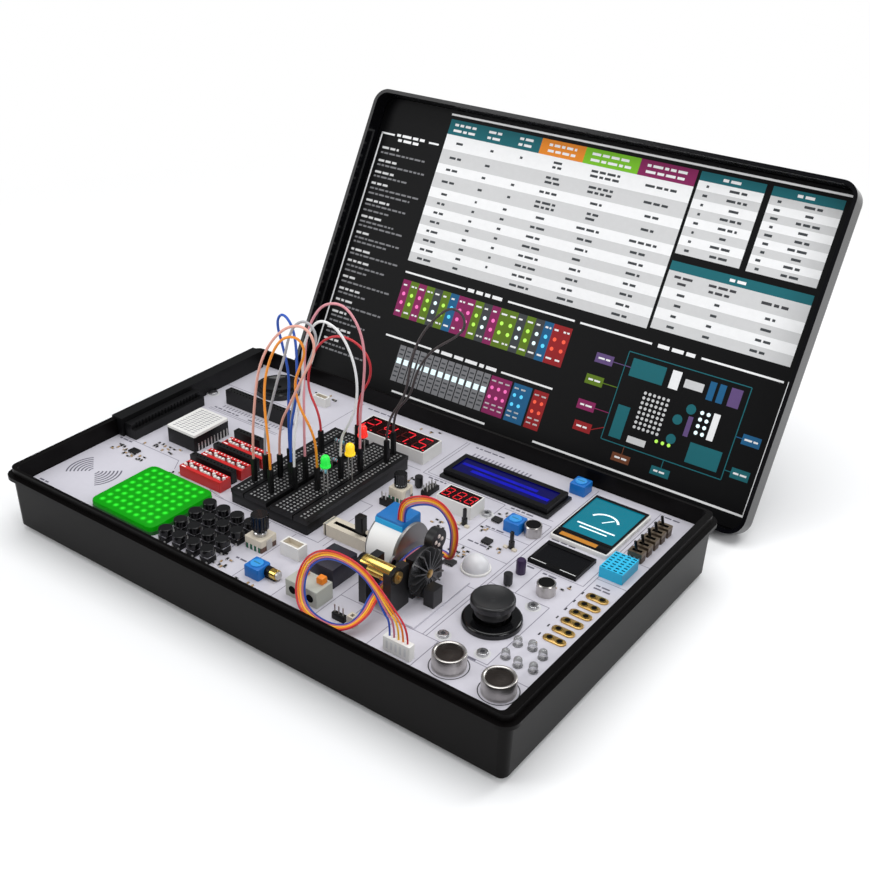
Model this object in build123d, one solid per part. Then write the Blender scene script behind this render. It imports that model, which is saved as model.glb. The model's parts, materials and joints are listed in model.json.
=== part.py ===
from build123d import *
import math
import os

os.makedirs("parts", exist_ok=True)

# Clearances
gap = 0.3  # between pieces that do not touch
running = 0.05  # radial clearance of a shaft in its bore

# Base tray
tray_length = 327.0
tray_width = 198.3
tray_corner = 5.0
tray_draft = 1.0  # how much smaller each side is at the bottom
tray_floor = 2.0
tray_end_wall = 3.9
tray_long_wall = 1.7
tray_edge = 1.0
flange_out = 2.8
flange_thick = 2.1
rim_height = 32.9  # top of the flange, where the closed lid rests
ring_height = 4.2
ledge_wide = 2.6
ledge_thick = 3.0
rib_pitch = 40.0
rib_thick = 1.6
foot_radius = 8.0
foot_height = 3.0
foot_pocket = 0.8  # depth of the round pocket that locates each foot
foot_taper = 8
foot_inset = (24.0, 20.0)

# Circuit board
board_thick = 1.6
board_top = 26.7
board_corner = 3.0
screw_head = 2.75
screw_head_high = 1.5
screw_shank = 1.5
screw_length = 12.0
boss_radius = 4.0
screws = (
    (10.5 - tray_length / 2, 46.9),
    (61.4, 36.7),
    (tray_length / 2 - 39.1, -17.1),
    (tray_length / 2 - 60.4, 38.25 - tray_width / 2),
    (tray_length / 2 - 38.6, 38.45 - tray_width / 2),
)

# Hinge and lid
hinge_back = 9.65  # the pin's distance behind the tray's rim
hinge_y = tray_width / 2 + hinge_back
hinge_z = 9.2
pin_radius = 1.5
barrel_radius = 4.0
hinge_inset = 53.5
hinge_at = tray_length / 2 - hinge_inset  # middle of each hinge, left and right
barrel_length = 29.4
ear_thick = 4.0
arm_thick = 3.4
lid_open = 118.74  # opening angle in degrees
lid_over = (3.2, 2.7)  # how far the lid's outside stands past the tray's rim
lid_length = tray_length + 2 * lid_over[0]
lid_width = tray_width + 2 * lid_over[1]
lid_corner = 10.0
lid_depth = 17.95
lid_edge = 5.0
lid_wall = 2.4
lid_roof = 2.2
panel_recess = 12.0
panel_thick = 1.5
panel_seat = 6.0
lid_rib_pitch = 54.0

# Left cover and inner computer
cover_thick = 4.3
cover_rear_gap = 4.7  # from the cover's rear end to the tray's outside
cover_length = 119.95
cover_front = tray_width / 2 - cover_rear_gap - cover_length
cover_top = 1.3
cover_notch = 4.6
computer_size = (56.0, 85.0)
computer_inset = (45.5, 53.15)  # from the tray's left and rear sides to the board's middle
computer_at = (computer_inset[0] - tray_length / 2, tray_width / 2 - computer_inset[1])
computer_above_floor = 6.0
computer_hole_inset = 3.5
computer_chip = (14.0, 14.0, 1.4)
computer_port = (14.0, 16.0, 11.0)
computer_port_pitch = 18.0
computer_port_inset = 7.0

# Connectors and switch blocks
outer_socket_size = (8.4, 56.0)
outer_socket_inset = 13.4  # from the tray's left side to the socket's middle
outer_socket_at = (outer_socket_inset - tray_length / 2, 4.0)
outer_socket_high = 9.0
outer_socket_ledge = (3.0, 6.0)
outer_socket_slot = (1.0, 1.2, 2.0)  # across, along, deep
outer_socket_end = 2.0
selector_size = (22.6, 27.7)
selector_at = (-119.3, 1.1)
selector_high = 11.0
selector_plate = 1.5
selector_count = 8
selector_slot = (5.2, 0.9, 0.6)
selector_slot_out = 4.2
dip_size = (31.3, 8.4)
dip_high = 6.5
dip_at = ((-80.8, -31.6), (-80.8, -15.1), (-80.8, 1.4))
dip_count = 12
pin_pitch = 2.54
dip_slider = (1.3, 1.3, 1.0)
dip_slot_wide = 3.6
strip_wide = 4.0
strip_high = 8.0
contact_groove = (0.8, 1.0)  # width and depth of the groove along a socket's contacts
contact_end = 1.0
strips = ((-82.7, -23.3, 32.2), (-80.9, -6.8, 32.2), (-88.7, 12.0, 20.4))  # x, y, length
socket_size = (51.2, 5.0)
socket_at = (-111.6, 44.7)
socket_high = 9.5

# Button field
button_columns = (-55.0, -45.0, -35.0, -25.0)
button_rows = (-84.8, -74.3, -63.8, -53.3)
switch_side = 6.0
switch_high = 3.8
cap_radius = 3.75
cap_bottom = 4.15
cap_top = 7.6
cap_stem = 1.5
cap_stem_deep = 1.8
press_travel = 0.25
cap_edge = 0.6

# LED matrix
matrix_size = (48.6, 46.5)
matrix_at = (-86.5, -65.2)
matrix_high = 5.0
matrix_corner = 4.5
matrix_skirt_high = 2.2
matrix_count = 8
matrix_pitch = 5.25
matrix_dot = 1.9

# Knobs
encoder_at = (-13.3, -58.7)
encoder_body = 12.0
encoder_high = 7.0
bushing_radius = 3.5
bushing_high = 3.6
knob_shaft = 2.0
encoder_knob_radius = 4.6
encoder_knob_bottom = 11.0
encoder_knob_top = 19.0
knob_flutes = 16
knob_flute = 0.45
pot_at = (15.5, 21.0)
pot_body = 10.0
pot_high = 8.2
pot_knob_radius = 3.6
pot_knob_bottom = 8.6
pot_knob_top = 16.4

# Slide potentiometer
slider_size = (30.0, 8.9)
slider_at = (20.4, -27.1)
slider_high = 7.0
slider_slot = (22.0, 2.4)
slider_slot_deep = 4.0
slider_lever = (4.6, 1.8)
slider_lever_at = 26.9
slider_lever_top = 18.0
slider_cap = (5.0, 4.4, 9.0)

# Toggle switches
toggle_x = 144.5
toggle_rows = (78.0, 70.7, 63.4, 56.1, 48.8)
toggle_size = (8.0, 5.2)
toggle_high = 5.6
toggle_bracket = 0.4
toggle_slot = (5.4, 2.0)
toggle_lever = 0.8
toggle_pin_height = 3.4
toggle_top = 11.0
toggle_tilt = 12.0

# Joystick
stick_at = (114.9, -38.2)
stick_pivot = 4.0
collar_radius = 14.6
collar_high = 3.2
dome_radius = 9.0
dome_thick = 0.8
dome_reach = 78.0
gimbal_outer = 6.0
gimbal_inner = 4.3
gimbal_thick = 2.6
trunnion = 1.0
trunnion_reach = 7.4
post_thick = 1.0
stem_radius = 2.0
cross_pin = 0.8
thumb_radius = 10.7
thumb_bottom = 10.6
thumb_top = 14.0
thumb_dish = 1.2

# Stepper motor and the black bracket
stepper_y = -30.6
stepper_z = 40.75
stepper_radius = 14.0
stepper_back = 43.0
stepper_face = 62.0
stepper_cap = (16.5, 15.6, 16.9)  # length, width, height above the motor's axis
stepper_ear = (35.0, 7.0, 1.0)
shaft_offset = 8.0
boss_out = (4.5, 1.5)
output_shaft = 2.5
output_end = 71.0
bracket_floor = 1.2
bracket_x = (57.0, 90.0)
bracket_y = (-66.0, -20.0)
bracket_plate = 4.6
bracket_left = 57.0
bracket_right = 71.7
bracket_front = (-66.0, -52.0)
bracket_top = 50.5
wheel_plate_y = (-49.0, -25.0)
wheel_plate_top = 50.0
light_head = (75.0, -28.6, 51.0)
light_head_radius = 6.0
gold_motor_y = -61.4
gold_motor_z = 48.0
gold_motor_radius = 4.5
gold_motor_x = (55.0, 76.6)
gold_motor_cap = 2.2
fork_x = (83.0, 88.8)
fork_y = (-49.3, -41.9)
fork_top = 11.0

# Fan wheel
wheel_y = -41.8
wheel_z = 41.0
wheel_radius = 12.5
wheel_start = 77.5
wheel_thick = 3.6
wheel_blades = 16
wheel_blade_thick = 0.7
wheel_hub = 3.0
wheel_shaft = 1.0
wheel_disc = 0.8

# Screens
lcd_size = (71.2, 25.6)
lcd_at = (54.1, 65.4)
lcd_high = 1.6
lcd_bezel_high = 5.0
lcd_bezel_size = (68.0, 22.0)
lcd_window = (62.0, 15.0)
tft_size = (34.0, 48.4)
tft_at = (116.1, 63.1)
tft_high = 3.0
tft_window = (28.8, 34.8)
tft_window_at = (115.9, 67.0)
oled_size = (28.0, 20.6)
oled_at = (116.0, 23.5)
oled_high = 2.2
digits_wide = ((-21.8, 66.4, 50.8, 18.4), (46.7, 33.0, 22.4, 13.3))  # x, y, length, width
digits_high = 8.0
digits_lip = 0.6

# Round sensors
sonar_at = ((117.8, -76.9), (144.6, -77.3))
sonar_radius = 8.0
sonar_high = 8.2
sonar_mesh = 6.4
sonar_recess = 1.2
mic_cans = ((90.9, 36.0, 4.75, 6.2), (123.3, -3.8, 4.8, 6.5))  # x, y, radius, height
dome_at = (85.0, -8.0)
motion_dome_radius = 7.0
motion_dome_high = 8.0
posts_at = ((57.5, 21.5), (89.0, 18.5))
post_radius = 1.6
post_high = 10.0
speaker_at = (-124.0, 76.0)
speaker_radius = 15.0
speaker_high = 4.0

# Block-shaped parts: x, y, length, width, height
humidity = (143.0, 32.8, 13.0, 16.9, 6.0)
relay = (32.6, -55.6, 15.3, 19.2, 11.0)
terminal = (34.5, -76.0, 20.0, 12.0, 9.3)
terminal_levers = (29.6, 40.6)
trimmers = ((2.7, -78.2), (81.0, 34.2), (89.0, 88.4))
trimmer_side = 9.5
trimmer_high = 7.0
chips = (
    (-136.4, -33.6, 6.0, 6.0, 1.0),
    (69.1, 35.1, 5.0, 5.5, 1.4),
    (76.2, 15.1, 5.0, 6.0, 1.4),
    (71.8, -12.0, 6.2, 6.0, 1.4),
)
gold_part = (9.6, -76.0, 11.9, 4.0)  # x, y, length, body radius is half the last
white_blocks = ((5.8, -55.0, 12.4, 6.7, 7.5), (65.6, -81.0, 3.8, 4.0, 6.0), (-90.0, 78.0, 10.0, 5.0, 6.0))
black_headers = ((57.8, -81.5, 7.3, 2.5, 8.0), (13.0, 11.5, 7.0, 4.0, 8.0), (24.0, 36.5, 5.0, 11.0, 6.0))
purple_can = (104.5, 3.0, 2.5, 8.0)
transistors = ((105.1, -9.6), (15.9, 37.0))
transistor_radius = 2.3
transistor_high = 7.0
plug_size = (15.3, 4.2)
plug_at = (94.85, -84.0)
plug_high = 8.0

# Touch pads and clear lamps
pad_x = 145.7
pad_start = -32.6
pad_pitch = 7.94
pad_count = 6
pad_size = (12.0, 5.0)
pad_high = 0.8
pad_hole = 0.9
pad_hole_gap = 5.3
lamps = ((134.0, -45.5), (141.0, -44.0), (148.0, -46.5), (134.5, -56.5), (142.0, -58.0), (149.5, -57.0))
lamp_radius = 1.5
lamp_high = 5.0

# Breadboard, its lamps and resistors
bread_x = (-54.6, -0.6)
bread_y = (-37.8, 49.0)
bread_high = 8.5
bread_channel = (3.0, 2.4)
rail_inset = 9.5
rail_groove = 0.8
led_at = ((-11.5, -9.5), (-9.5, 8.5), (-17.0, 28.5))
led_radius = 2.5
led_leg = 0.5
led_leg_high = 16.0
led_high = 7.0
resistor_at = ((-22.5, 0.5), (-23.5, 13.5), (-36.0, 31.0))
resistor_radius = 1.2
resistor_length = 6.3
resistor_up = 5.0
jumper_side = 2.5
jumper_end_high = 14.0

# Jumper wires: each route runs from one plug-in end to the other
wire_diameter = 1.4
routes = {
    "salmon": [
        (-50, -24, 49), (-50, -24, 62), (-48, -22, 88), (-46, -21, 101), (-41, -21, 113),
        (-34, -20, 124), (-25, -19, 132), (-15, -18, 134), (-10, -17, 127), (-12, -16, 117),
        (-19, -16.5, 105), (-28, -16.5, 87), (-42, -12, 66), (-42, -12, 49),
    ],
    "orange": [
        (-35, -27, 49), (-35, -27, 62), (-40, -24, 81), (-41, -22, 98), (-36, -21, 114),
        (-29, -20, 125), (-20, -18, 127), (-17, -16, 119), (-22, -15, 109), (-27, -14.5, 98),
        (-25, -14.5, 86), (-18, -12, 72), (-17, -10, 60), (-17, -10, 49),
    ],
    "grey": [
        (-48, -17, 49), (-48, -17, 62), (-43, -15, 82), (-37, -15, 100), (-33, -14, 112),
        (-30, -14, 123), (-26, -13, 131), (-19, -12, 134), (-14, -11, 128), (-17, -9, 119),
        (-23, -7, 108), (-30, -6.5, 93), (-38, -7, 74), (-38, -7, 49),
    ],
    "blue": [
        (-32, -14, 49), (-32, -14, 68), (-28, -12, 88), (-27, -12, 104), (-28, -11, 120),
        (-32, -10, 129), (-39, -9, 132), (-44, -8, 125), (-41, -7, 112), (-38, -6, 95),
        (-42, -4, 74), (-42, -4, 49),
    ],
    "white": [
        (-27, -17, 49), (-27, -17, 68), (-26, -9, 93), (-26, -9, 112), (-23, -8, 124),
        (-16, -7, 134), (-7, -5, 132), (-1, -2, 122), (3, 0, 106), (1, 2, 87), (-7, 4, 71),
        (-15, 7, 60), (-15, 7, 49),
    ],
    "pink": [
        (-30, -5, 49), (-30, -5, 69), (-35, 2, 95), (-34, 3, 114), (-31, 5, 126), (-24, 7, 136),
        (-13, 10, 137), (-5, 12, 126), (-3, 14, 110), (-7, 17, 88), (-12, 20, 68), (-12, 20, 49),
    ],
    "red": [
        (-42, 22, 49), (-42, 22, 58), (-54, 25, 71), (-53, 27, 86), (-48, 28, 98), (-38, 30, 106),
        (-25, 32, 106), (-16, 34, 97), (-17, 36, 84), (-25, 38, 72), (-30, 40, 61), (-30, 40, 49),
    ],
    "brown": [
        (-6, 36, 49), (-6, 36, 61), (6, 37, 80), (8, 38, 98), (11, 39, 111), (17, 39, 122),
        (24, 40, 131), (31, 41, 137), (38, 42, 135), (39, 43, 127), (33, 43, 120), (25, 43, 114),
        (16, 44, 106), (8, 44, 93), (3, 45, 75), (-9, 46, 62), (-9, 46, 49),
    ],
}
ribbon_diameter = 3.6
ribbon_route = [
    (58, -34, 57.7), (58, -34, 64.5), (63, -35, 71), (73, -35, 76), (81, -34, 75.5), (86, -32, 68),
    (86, -29, 58), (83, -26, 47), (79, -22, 38), (72, -19, 37), (66.5, -24, 41), (66, -33, 42.5),
    (66, -43, 41), (66, -53, 38), (66.5, -62, 37), (69.5, -71, 38), (71.5, -79, 35), (69, -87, 31),
    (61, -91, 29.5), (51, -91, 29.5), (42, -89, 31), (36.5, -85, 37), (36, -81, 46), (41.5, -80, 54.5),
    (51, -80, 60.5), (62, -80.5, 62), (72.5, -81, 60), (81, -82, 54.5), (88.5, -83.3, 47.5),
    (94.85, -84, 42.5), (94.85, -84, 34.7),
]


def slab(at, size, bottom, height, corner=0.0):
    """An upright block centred at a point, its vertical edges rounded."""
    outline = RectangleRounded(size[0], size[1], corner) if corner else Rectangle(size[0], size[1])
    return Pos(at[0], at[1], bottom) * extrude(outline, height)


def between(x, y, z, corner=0.0):
    """A block between two planes in each direction."""
    middle = ((x[0] + x[1]) / 2, (y[0] + y[1]) / 2)
    return slab(middle, (x[1] - x[0], y[1] - y[0]), z[0], z[1] - z[0], corner)


def post(at, bottom, height, radius):
    """An upright cylinder."""
    return Pos(at[0], at[1], bottom) * extrude(Circle(radius), height)


def bar(start, length, y, z, radius):
    """A cylinder lying along X."""
    return Pos(start, y, z) * Rot(0, 90, 0) * extrude(Circle(radius), length)


def cross_bar(at, length, z, radius):
    """A cylinder lying along Y, centred at a point."""
    return Pos(at[0], at[1], z) * Rot(90, 0, 0) * Cylinder(radius, length)


def soften(solid, radius):
    """Round the top edges of a solid."""
    return fillet(solid.faces().sort_by(Axis.Z)[-1].edges(), radius)


def save(node, *solids):
    """Write the separate solids of one node."""
    pieces = [piece for solid in solids for piece in solid.solids()]
    export_step(Compound(pieces), f"parts/{node}.step")


def from_pin(solid):
    """Swing what is modelled on the closed lid back about the hinge pin."""
    return Pos(0, hinge_y, hinge_z) * Rot(-lid_open, 0, 0) * Pos(0, -hinge_y, -hinge_z) * solid


inner_length = tray_length - 2 * tray_end_wall
inner_width = tray_width - 2 * tray_long_wall
board_under = board_top - board_thick


def board_block(part):
    """A plain block standing on the board, from its row of numbers."""
    x, y, length, width, height = part
    return slab((x, y), (length, width), board_top, height)


def tray_ear(x):
    """A plate that carries the hinge pin behind the tray."""
    wall = tray_width / 2 - tray_draft
    with BuildSketch(Plane.YZ) as side:
        with BuildLine():
            Polyline(
                (wall - 0.6, hinge_z - barrel_radius - 3.0),
                (hinge_y, hinge_z - barrel_radius),
                (hinge_y, hinge_z + barrel_radius),
                (wall - 0.6, hinge_z + barrel_radius + 6.0),
                close=True,
            )
        make_face()
        with Locations((hinge_y, hinge_z)):
            Circle(barrel_radius)
            Circle(pin_radius, mode=Mode.SUBTRACT)
    return Pos(x - ear_thick / 2, 0, 0) * extrude(side.sketch, ear_thick)


def base_tray():
    """The moulded tray: drafted shell, flange, ring, board ledge, ribs, bosses and hinge ears."""
    slope = math.degrees(math.atan(tray_draft / rim_height))
    foot_print = RectangleRounded(
        tray_length - 2 * tray_draft, tray_width - 2 * tray_draft, tray_corner - tray_draft
    )
    body = extrude(foot_print, rim_height, taper=-slope)
    body = fillet(body.faces().sort_by(Axis.Z)[0].edges(), tray_edge)
    flange_size = (tray_length + 2 * flange_out, tray_width + 2 * flange_out)
    body += slab((0, 0), flange_size, rim_height - flange_thick, flange_thick, tray_corner + flange_out)
    body += slab((0, 0), (tray_length, tray_width), rim_height, ring_height, tray_corner)
    full = rim_height + ring_height
    body -= slab((0, 0), (inner_length, inner_width), board_under, full, board_corner)
    ledge = (inner_length - 2 * ledge_wide, inner_width - 2 * ledge_wide)
    body -= slab((0, 0), ledge, board_under - ledge_thick, full, board_corner)
    low_length = tray_length - 2 * tray_draft - 2 * tray_end_wall
    low_width = tray_width - 2 * tray_draft - 2 * tray_long_wall
    body -= slab((0, 0), (low_length, low_width), tray_floor, board_under - ledge_thick - tray_floor, 2.0)
    for x, y in screws:
        body += post((x, y), tray_floor, board_under - tray_floor, boss_radius)
        body -= post((x, y), board_under - screw_length, screw_length, screw_shank)
    for x in (-1, 1):
        for y in (-1, 1):
            body += post(computer_corner(x, y), tray_floor, computer_above_floor, boss_radius - 1)
    for at in foot_places():
        body -= post(at, 0, foot_pocket, foot_radius + gap)
    for side in (-1, 1):
        for end in (-1, 1):
            body += tray_ear(side * hinge_at + end * (barrel_length / 2 + gap + ear_thick / 2))
    return body


def computer_corner(x, y):
    """Centre of a fixing hole of the inner computer."""
    across = computer_size[0] / 2 - computer_hole_inset
    along = computer_size[1] / 2 - computer_hole_inset
    return (computer_at[0] + x * across, computer_at[1] + y * along)


def foot_places():
    """Centres of the four feet, inset from the tray's corners."""
    x = tray_length / 2 - foot_inset[0]
    y = tray_width / 2 - foot_inset[1]
    return [(-x, -y), (-x, y), (x, -y), (x, y)]


def base_feet():
    """Four tapered rubber feet, each stuck in a shallow pocket under the tray."""
    pad = extrude(Circle(foot_radius), foot_height + foot_pocket, taper=foot_taper)
    return [Pos(x, y, foot_pocket) * Rot(180, 0, 0) * pad for x, y in foot_places()]


def side_port_cover():
    """The thick block along the left wall's rear half, lapping over the ring."""
    wall = -inner_length / 2
    inside = wall + gap + cover_thick
    ring_top = rim_height + ring_height
    rear = tray_width / 2 - cover_rear_gap
    body = between((wall + gap, inside), (cover_front, rear), (board_top, ring_top + cover_top))
    lap = between((-tray_length / 2, inside), (cover_front, rear), (ring_top, ring_top + cover_top))
    body = body + lap
    return body - post(screws[0], board_top, screw_head_high + gap, cover_notch)


def hinge_pins():
    """Two steel pins, one through each hinge."""
    length = barrel_length + 2 * gap + 2 * ear_thick
    return [bar(side * hinge_at - length / 2, length, hinge_y, hinge_z, pin_radius) for side in (-1, 1)]


def lid_arm(x):
    """The arm that carries the lid's barrel, seen with the lid closed."""
    rear = lid_width / 2
    inner = tray_width / 2 + flange_out + gap
    with BuildSketch(Plane.YZ) as side:
        with BuildLine():
            Polyline(
                (rear - lid_wall / 2, rim_height + gap),
                (rear - lid_wall / 2, rim_height + arm_thick + 2.0),
                (inner + arm_thick / 2, rim_height + arm_thick + 1.0),
                (inner + arm_thick, rim_height + 1.0),
                (hinge_y, hinge_z + barrel_radius),
                (hinge_y - barrel_radius, hinge_z),
                (inner, rim_height + gap),
                close=True,
            )
        make_face()
        with Locations((hinge_y, hinge_z)):
            Circle(barrel_radius)
            Circle(pin_radius + running, mode=Mode.SUBTRACT)
    return Pos(x - barrel_length / 2, 0, 0) * extrude(side.sketch, barrel_length)


def lid_shell():
    """The moulded lid: rounded tray-shaped shell with a panel ledge, inner ribs and hinge arms."""
    body = slab((0, 0), (lid_length, lid_width), rim_height, lid_depth, lid_corner)
    body = soften(body, lid_edge)
    room = (lid_length - 2 * lid_wall, lid_width - 2 * lid_wall)
    seat = panel_recess + panel_thick
    body -= slab((0, 0), room, rim_height, seat, lid_corner - lid_wall)
    upper = (room[0] - 2 * panel_seat, room[1] - 2 * panel_seat)
    upper_high = lid_depth - lid_roof - seat
    hollow = slab((0, 0), upper, rim_height + seat, upper_high, lid_corner - lid_wall)
    count = int(upper[0] / lid_rib_pitch / 2)
    for step in range(-count, count + 1):
        hollow -= slab((step * lid_rib_pitch, 0), (rib_thick, upper[1]), rim_height + seat, upper_high)
    body -= hollow
    for side in (-1, 1):
        body += lid_arm(side * hinge_at)
    return from_pin(body)


def lid_panel():
    """The printed sheet on its ledge inside the lid."""
    length = lid_length - 2 * lid_wall - 2 * gap
    width = lid_width - 2 * lid_wall - 2 * gap
    sheet = slab((0, 0), (length, width), rim_height + panel_recess, panel_thick, lid_corner - lid_wall)
    return from_pin(sheet)


def circuit_board():
    """The white board that carries everything, with its screw holes."""
    size = (inner_length - 2 * gap, inner_width - 2 * gap)
    body = slab((0, 0), size, board_under, board_thick, board_corner - gap)
    for at in screws:
        body -= post(at, board_under, board_thick, screw_shank + gap)
    return body


def board_screws():
    """Pan-head screws from the board into the tray's bosses."""
    solids = []
    for at in screws:
        head = post(at, board_top, screw_head_high, screw_head)
        head = soften(head, screw_head_high / 3)
        shank = post(at, board_top - screw_length, screw_length, screw_shank)
        solids.append(head + shank)
    return solids


def computer_board():
    """The single-board computer on its standoffs under the main board."""
    bottom = tray_floor + computer_above_floor
    body = slab(computer_at, computer_size, bottom, board_thick, board_corner)
    deck = bottom + board_thick
    chip = slab(computer_at, computer_chip[:2], deck, computer_chip[2])
    port_y = computer_at[1] - computer_size[1] / 2 + computer_port_inset
    ports = []
    for step in (-1, 0, 1):
        at = (computer_at[0] + step * computer_port_pitch, port_y)
        ports.append(slab(at, computer_port[:2], deck, computer_port[2]))
    return [body, chip] + ports


def external_connector():
    """A long ribbed socket along the left side, with a lower step in front."""
    x, y = outer_socket_at
    width, length = outer_socket_size
    body = slab(outer_socket_at, outer_socket_size, board_top, outer_socket_high)
    step, low = outer_socket_ledge
    body -= slab((x + width / 2 - step / 2, y), (step, length), board_top + low, outer_socket_high)
    count = int((length - 2 * outer_socket_end) / pin_pitch)
    bottom = board_top + low - outer_socket_slot[2]
    slots = []
    for index in range(count):
        along = y + (index - (count - 1) / 2) * pin_pitch
        slots.append(slab((x + width / 2 - step, along), outer_socket_slot[:2], bottom, outer_socket_high))
    return body - slots


def channel_selector():
    """A black block with a white plate of slots on top."""
    body = slab(selector_at, selector_size, board_top, selector_high - selector_plate)
    plate = slab(selector_at, selector_size, board_top + selector_high - selector_plate, selector_plate, 0.8)
    x, y = selector_at
    slots = []
    for row in (-1, 1):
        for index in range(selector_count):
            at = (x + row * selector_slot_out, y + (index - (selector_count - 1) / 2) * pin_pitch)
            bottom = board_top + selector_high - selector_slot[2]
            slots.append(slab(at, selector_slot[:2], bottom, selector_slot[2]))
    return [body, plate - slots]


def socket_strips():
    """The 40-pin socket and three shorter black strips, each with two grooves of contacts."""
    socket = slab(socket_at, socket_size, board_top, socket_high)
    for side in (-1, 1):
        at = (socket_at[0], socket_at[1] + side * pin_pitch / 2)
        groove = (socket_size[0] - 2 * contact_end, contact_groove[0])
        socket -= slab(at, groove, board_top + socket_high - contact_groove[1], contact_groove[1])
    solids = [socket]
    for x, y, length in strips:
        strip = slab((x, y), (length, strip_wide), board_top, strip_high)
        groove = (length - 2 * contact_end, contact_groove[0])
        strip -= slab((x, y), groove, board_top + strip_high - contact_groove[1], contact_groove[1])
        solids.append(strip)
    return solids


def dip_switches():
    """Three banks of small slide switches, each body with one slot for its white sliders."""
    solids = []
    for x, y in dip_at:
        body = slab((x, y), dip_size, board_top, dip_high)
        slot_length = dip_count * pin_pitch
        slot_bottom = board_top + dip_high - dip_slider[2]
        body -= slab((x, y), (slot_length, dip_slot_wide), slot_bottom, dip_slider[2])
        solids.append(body)
        for index in range(dip_count):
            at = (x + (index - (dip_count - 1) / 2) * pin_pitch, y - dip_slider[1] / 2)
            solids.append(slab(at, dip_slider[:2], slot_bottom, dip_slider[2]))
    return solids


def led_matrix():
    """Black skirt and the green light panel on it, with a grid of shallow round lenses."""
    skirt = slab(matrix_at, matrix_size, board_top, matrix_skirt_high, matrix_corner)
    bottom = board_top + matrix_skirt_high
    panel = slab(matrix_at, matrix_size, bottom, matrix_high - matrix_skirt_high, matrix_corner)
    dots = []
    for column in range(matrix_count):
        for row in range(matrix_count):
            x = matrix_at[0] + (column - (matrix_count - 1) / 2) * matrix_pitch
            y = matrix_at[1] + (row - (matrix_count - 1) / 2) * matrix_pitch
            dots.append(Pos(x, y, board_top + matrix_high - 0.2) * extrude(RegularPolygon(matrix_dot, 8), 0.2))
    return [skirt, panel - dots]


def button_places():
    """Centres of the sixteen buttons, row by row."""
    return [(x, y) for y in button_rows for x in button_columns]


def button_bases():
    """Square switch bodies, each with a bore for its cap's stem."""
    solids = []
    for at in button_places():
        body = slab(at, (switch_side, switch_side), board_top, switch_high)
        bore_deep = cap_stem_deep + press_travel + gap
        solids.append(body - post(at, board_top + switch_high - bore_deep, bore_deep, cap_stem + running))
    return solids


def button_cap(at):
    """A round cap with the stem that slides in its switch."""
    cap = post(at, board_top + cap_bottom, cap_top - cap_bottom, cap_radius)
    cap = soften(cap, cap_edge)
    stem_bottom = board_top + switch_high - cap_stem_deep
    return cap + post(at, stem_bottom, board_top + cap_bottom - stem_bottom, cap_stem)


def fluted_knob(at, bottom, top, radius):
    """A knob with shallow flutes round its side."""
    knob = post(at, bottom, top - bottom, radius)
    knob = soften(knob, 0.5)
    flutes = []
    for index in range(knob_flutes):
        turn = 2 * math.pi * index / knob_flutes
        place = (at[0] + radius * math.cos(turn), at[1] + radius * math.sin(turn))
        flutes.append(Pos(place[0], place[1], bottom + 1) * extrude(RegularPolygon(knob_flute, 4), top))
    return knob - flutes


def control_bodies():
    """Fixed bodies of the encoder, the turning potentiometer and the slide potentiometer."""
    encoder = slab(encoder_at, (encoder_body, encoder_body), board_top, encoder_high, 0.8)
    encoder += post(encoder_at, board_top + encoder_high, bushing_high, bushing_radius)
    encoder -= post(encoder_at, board_top + 3, encoder_high + bushing_high, knob_shaft + running)
    pot = slab(pot_at, (pot_body, pot_body), board_top, pot_high, 0.8)
    pot -= post(pot_at, board_top + 3, pot_high, knob_shaft + running)
    slider = slab(slider_at, slider_size, board_top, slider_high, 0.6)
    slot_bottom = board_top + slider_high - slider_slot_deep
    slider -= slab(slider_at, slider_slot, slot_bottom, slider_slot_deep)
    return [encoder, pot, slider]


def encoder_knob():
    """Fluted knob with the shaft that turns in the encoder."""
    bottom = board_top + encoder_knob_bottom
    knob = fluted_knob(encoder_at, bottom, board_top + encoder_knob_top, encoder_knob_radius)
    return knob + post(encoder_at, board_top + 3 + gap, bottom - board_top - 3 - gap, knob_shaft)


def pot_knob():
    """Fluted knob with the shaft that turns in the potentiometer."""
    bottom = board_top + pot_knob_bottom
    knob = fluted_knob(pot_at, bottom, board_top + pot_knob_top, pot_knob_radius)
    return knob + post(pot_at, board_top + 3 + gap, bottom - board_top - 3 - gap, knob_shaft)


def slide_lever():
    """The slide potentiometer's lever: a flat blade with a black cap."""
    at = (slider_lever_at, slider_at[1])
    bottom = board_top + slider_high - slider_slot_deep + gap
    top = board_top + slider_lever_top
    blade = slab(at, slider_lever, bottom, top - slider_cap[2] - bottom)
    cap = slab(at, slider_cap[:2], top - slider_cap[2], slider_cap[2], 0.6)
    return blade + soften(cap, 0.5)


def toggle_bodies():
    """Five small switch bodies, each slotted for its lever and held by a metal bracket."""
    solids = []
    for y in toggle_rows:
        at = (toggle_x, y)
        body = slab(at, toggle_size, board_top, toggle_high)
        slot_bottom = board_top + toggle_pin_height - toggle_lever - gap
        body -= slab(at, toggle_slot, slot_bottom, toggle_high)
        for side in (-1, 1):
            x = toggle_x + side * (toggle_size[0] / 2 + toggle_bracket / 2)
            solids.append(slab((x, y), (toggle_bracket, toggle_size[1]), board_top, toggle_high))
        solids.append(body)
    return solids


def toggle_lever_part(y):
    """A round lever tilted towards -X at rest, turning about a point inside its switch."""
    reach = toggle_top - toggle_pin_height
    lever = extrude(Circle(toggle_lever), reach)
    lever = soften(lever, toggle_lever / 2) + Sphere(toggle_lever)
    return Pos(toggle_x, y, board_top + toggle_pin_height) * Rot(0, -toggle_tilt, 0) * lever


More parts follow.
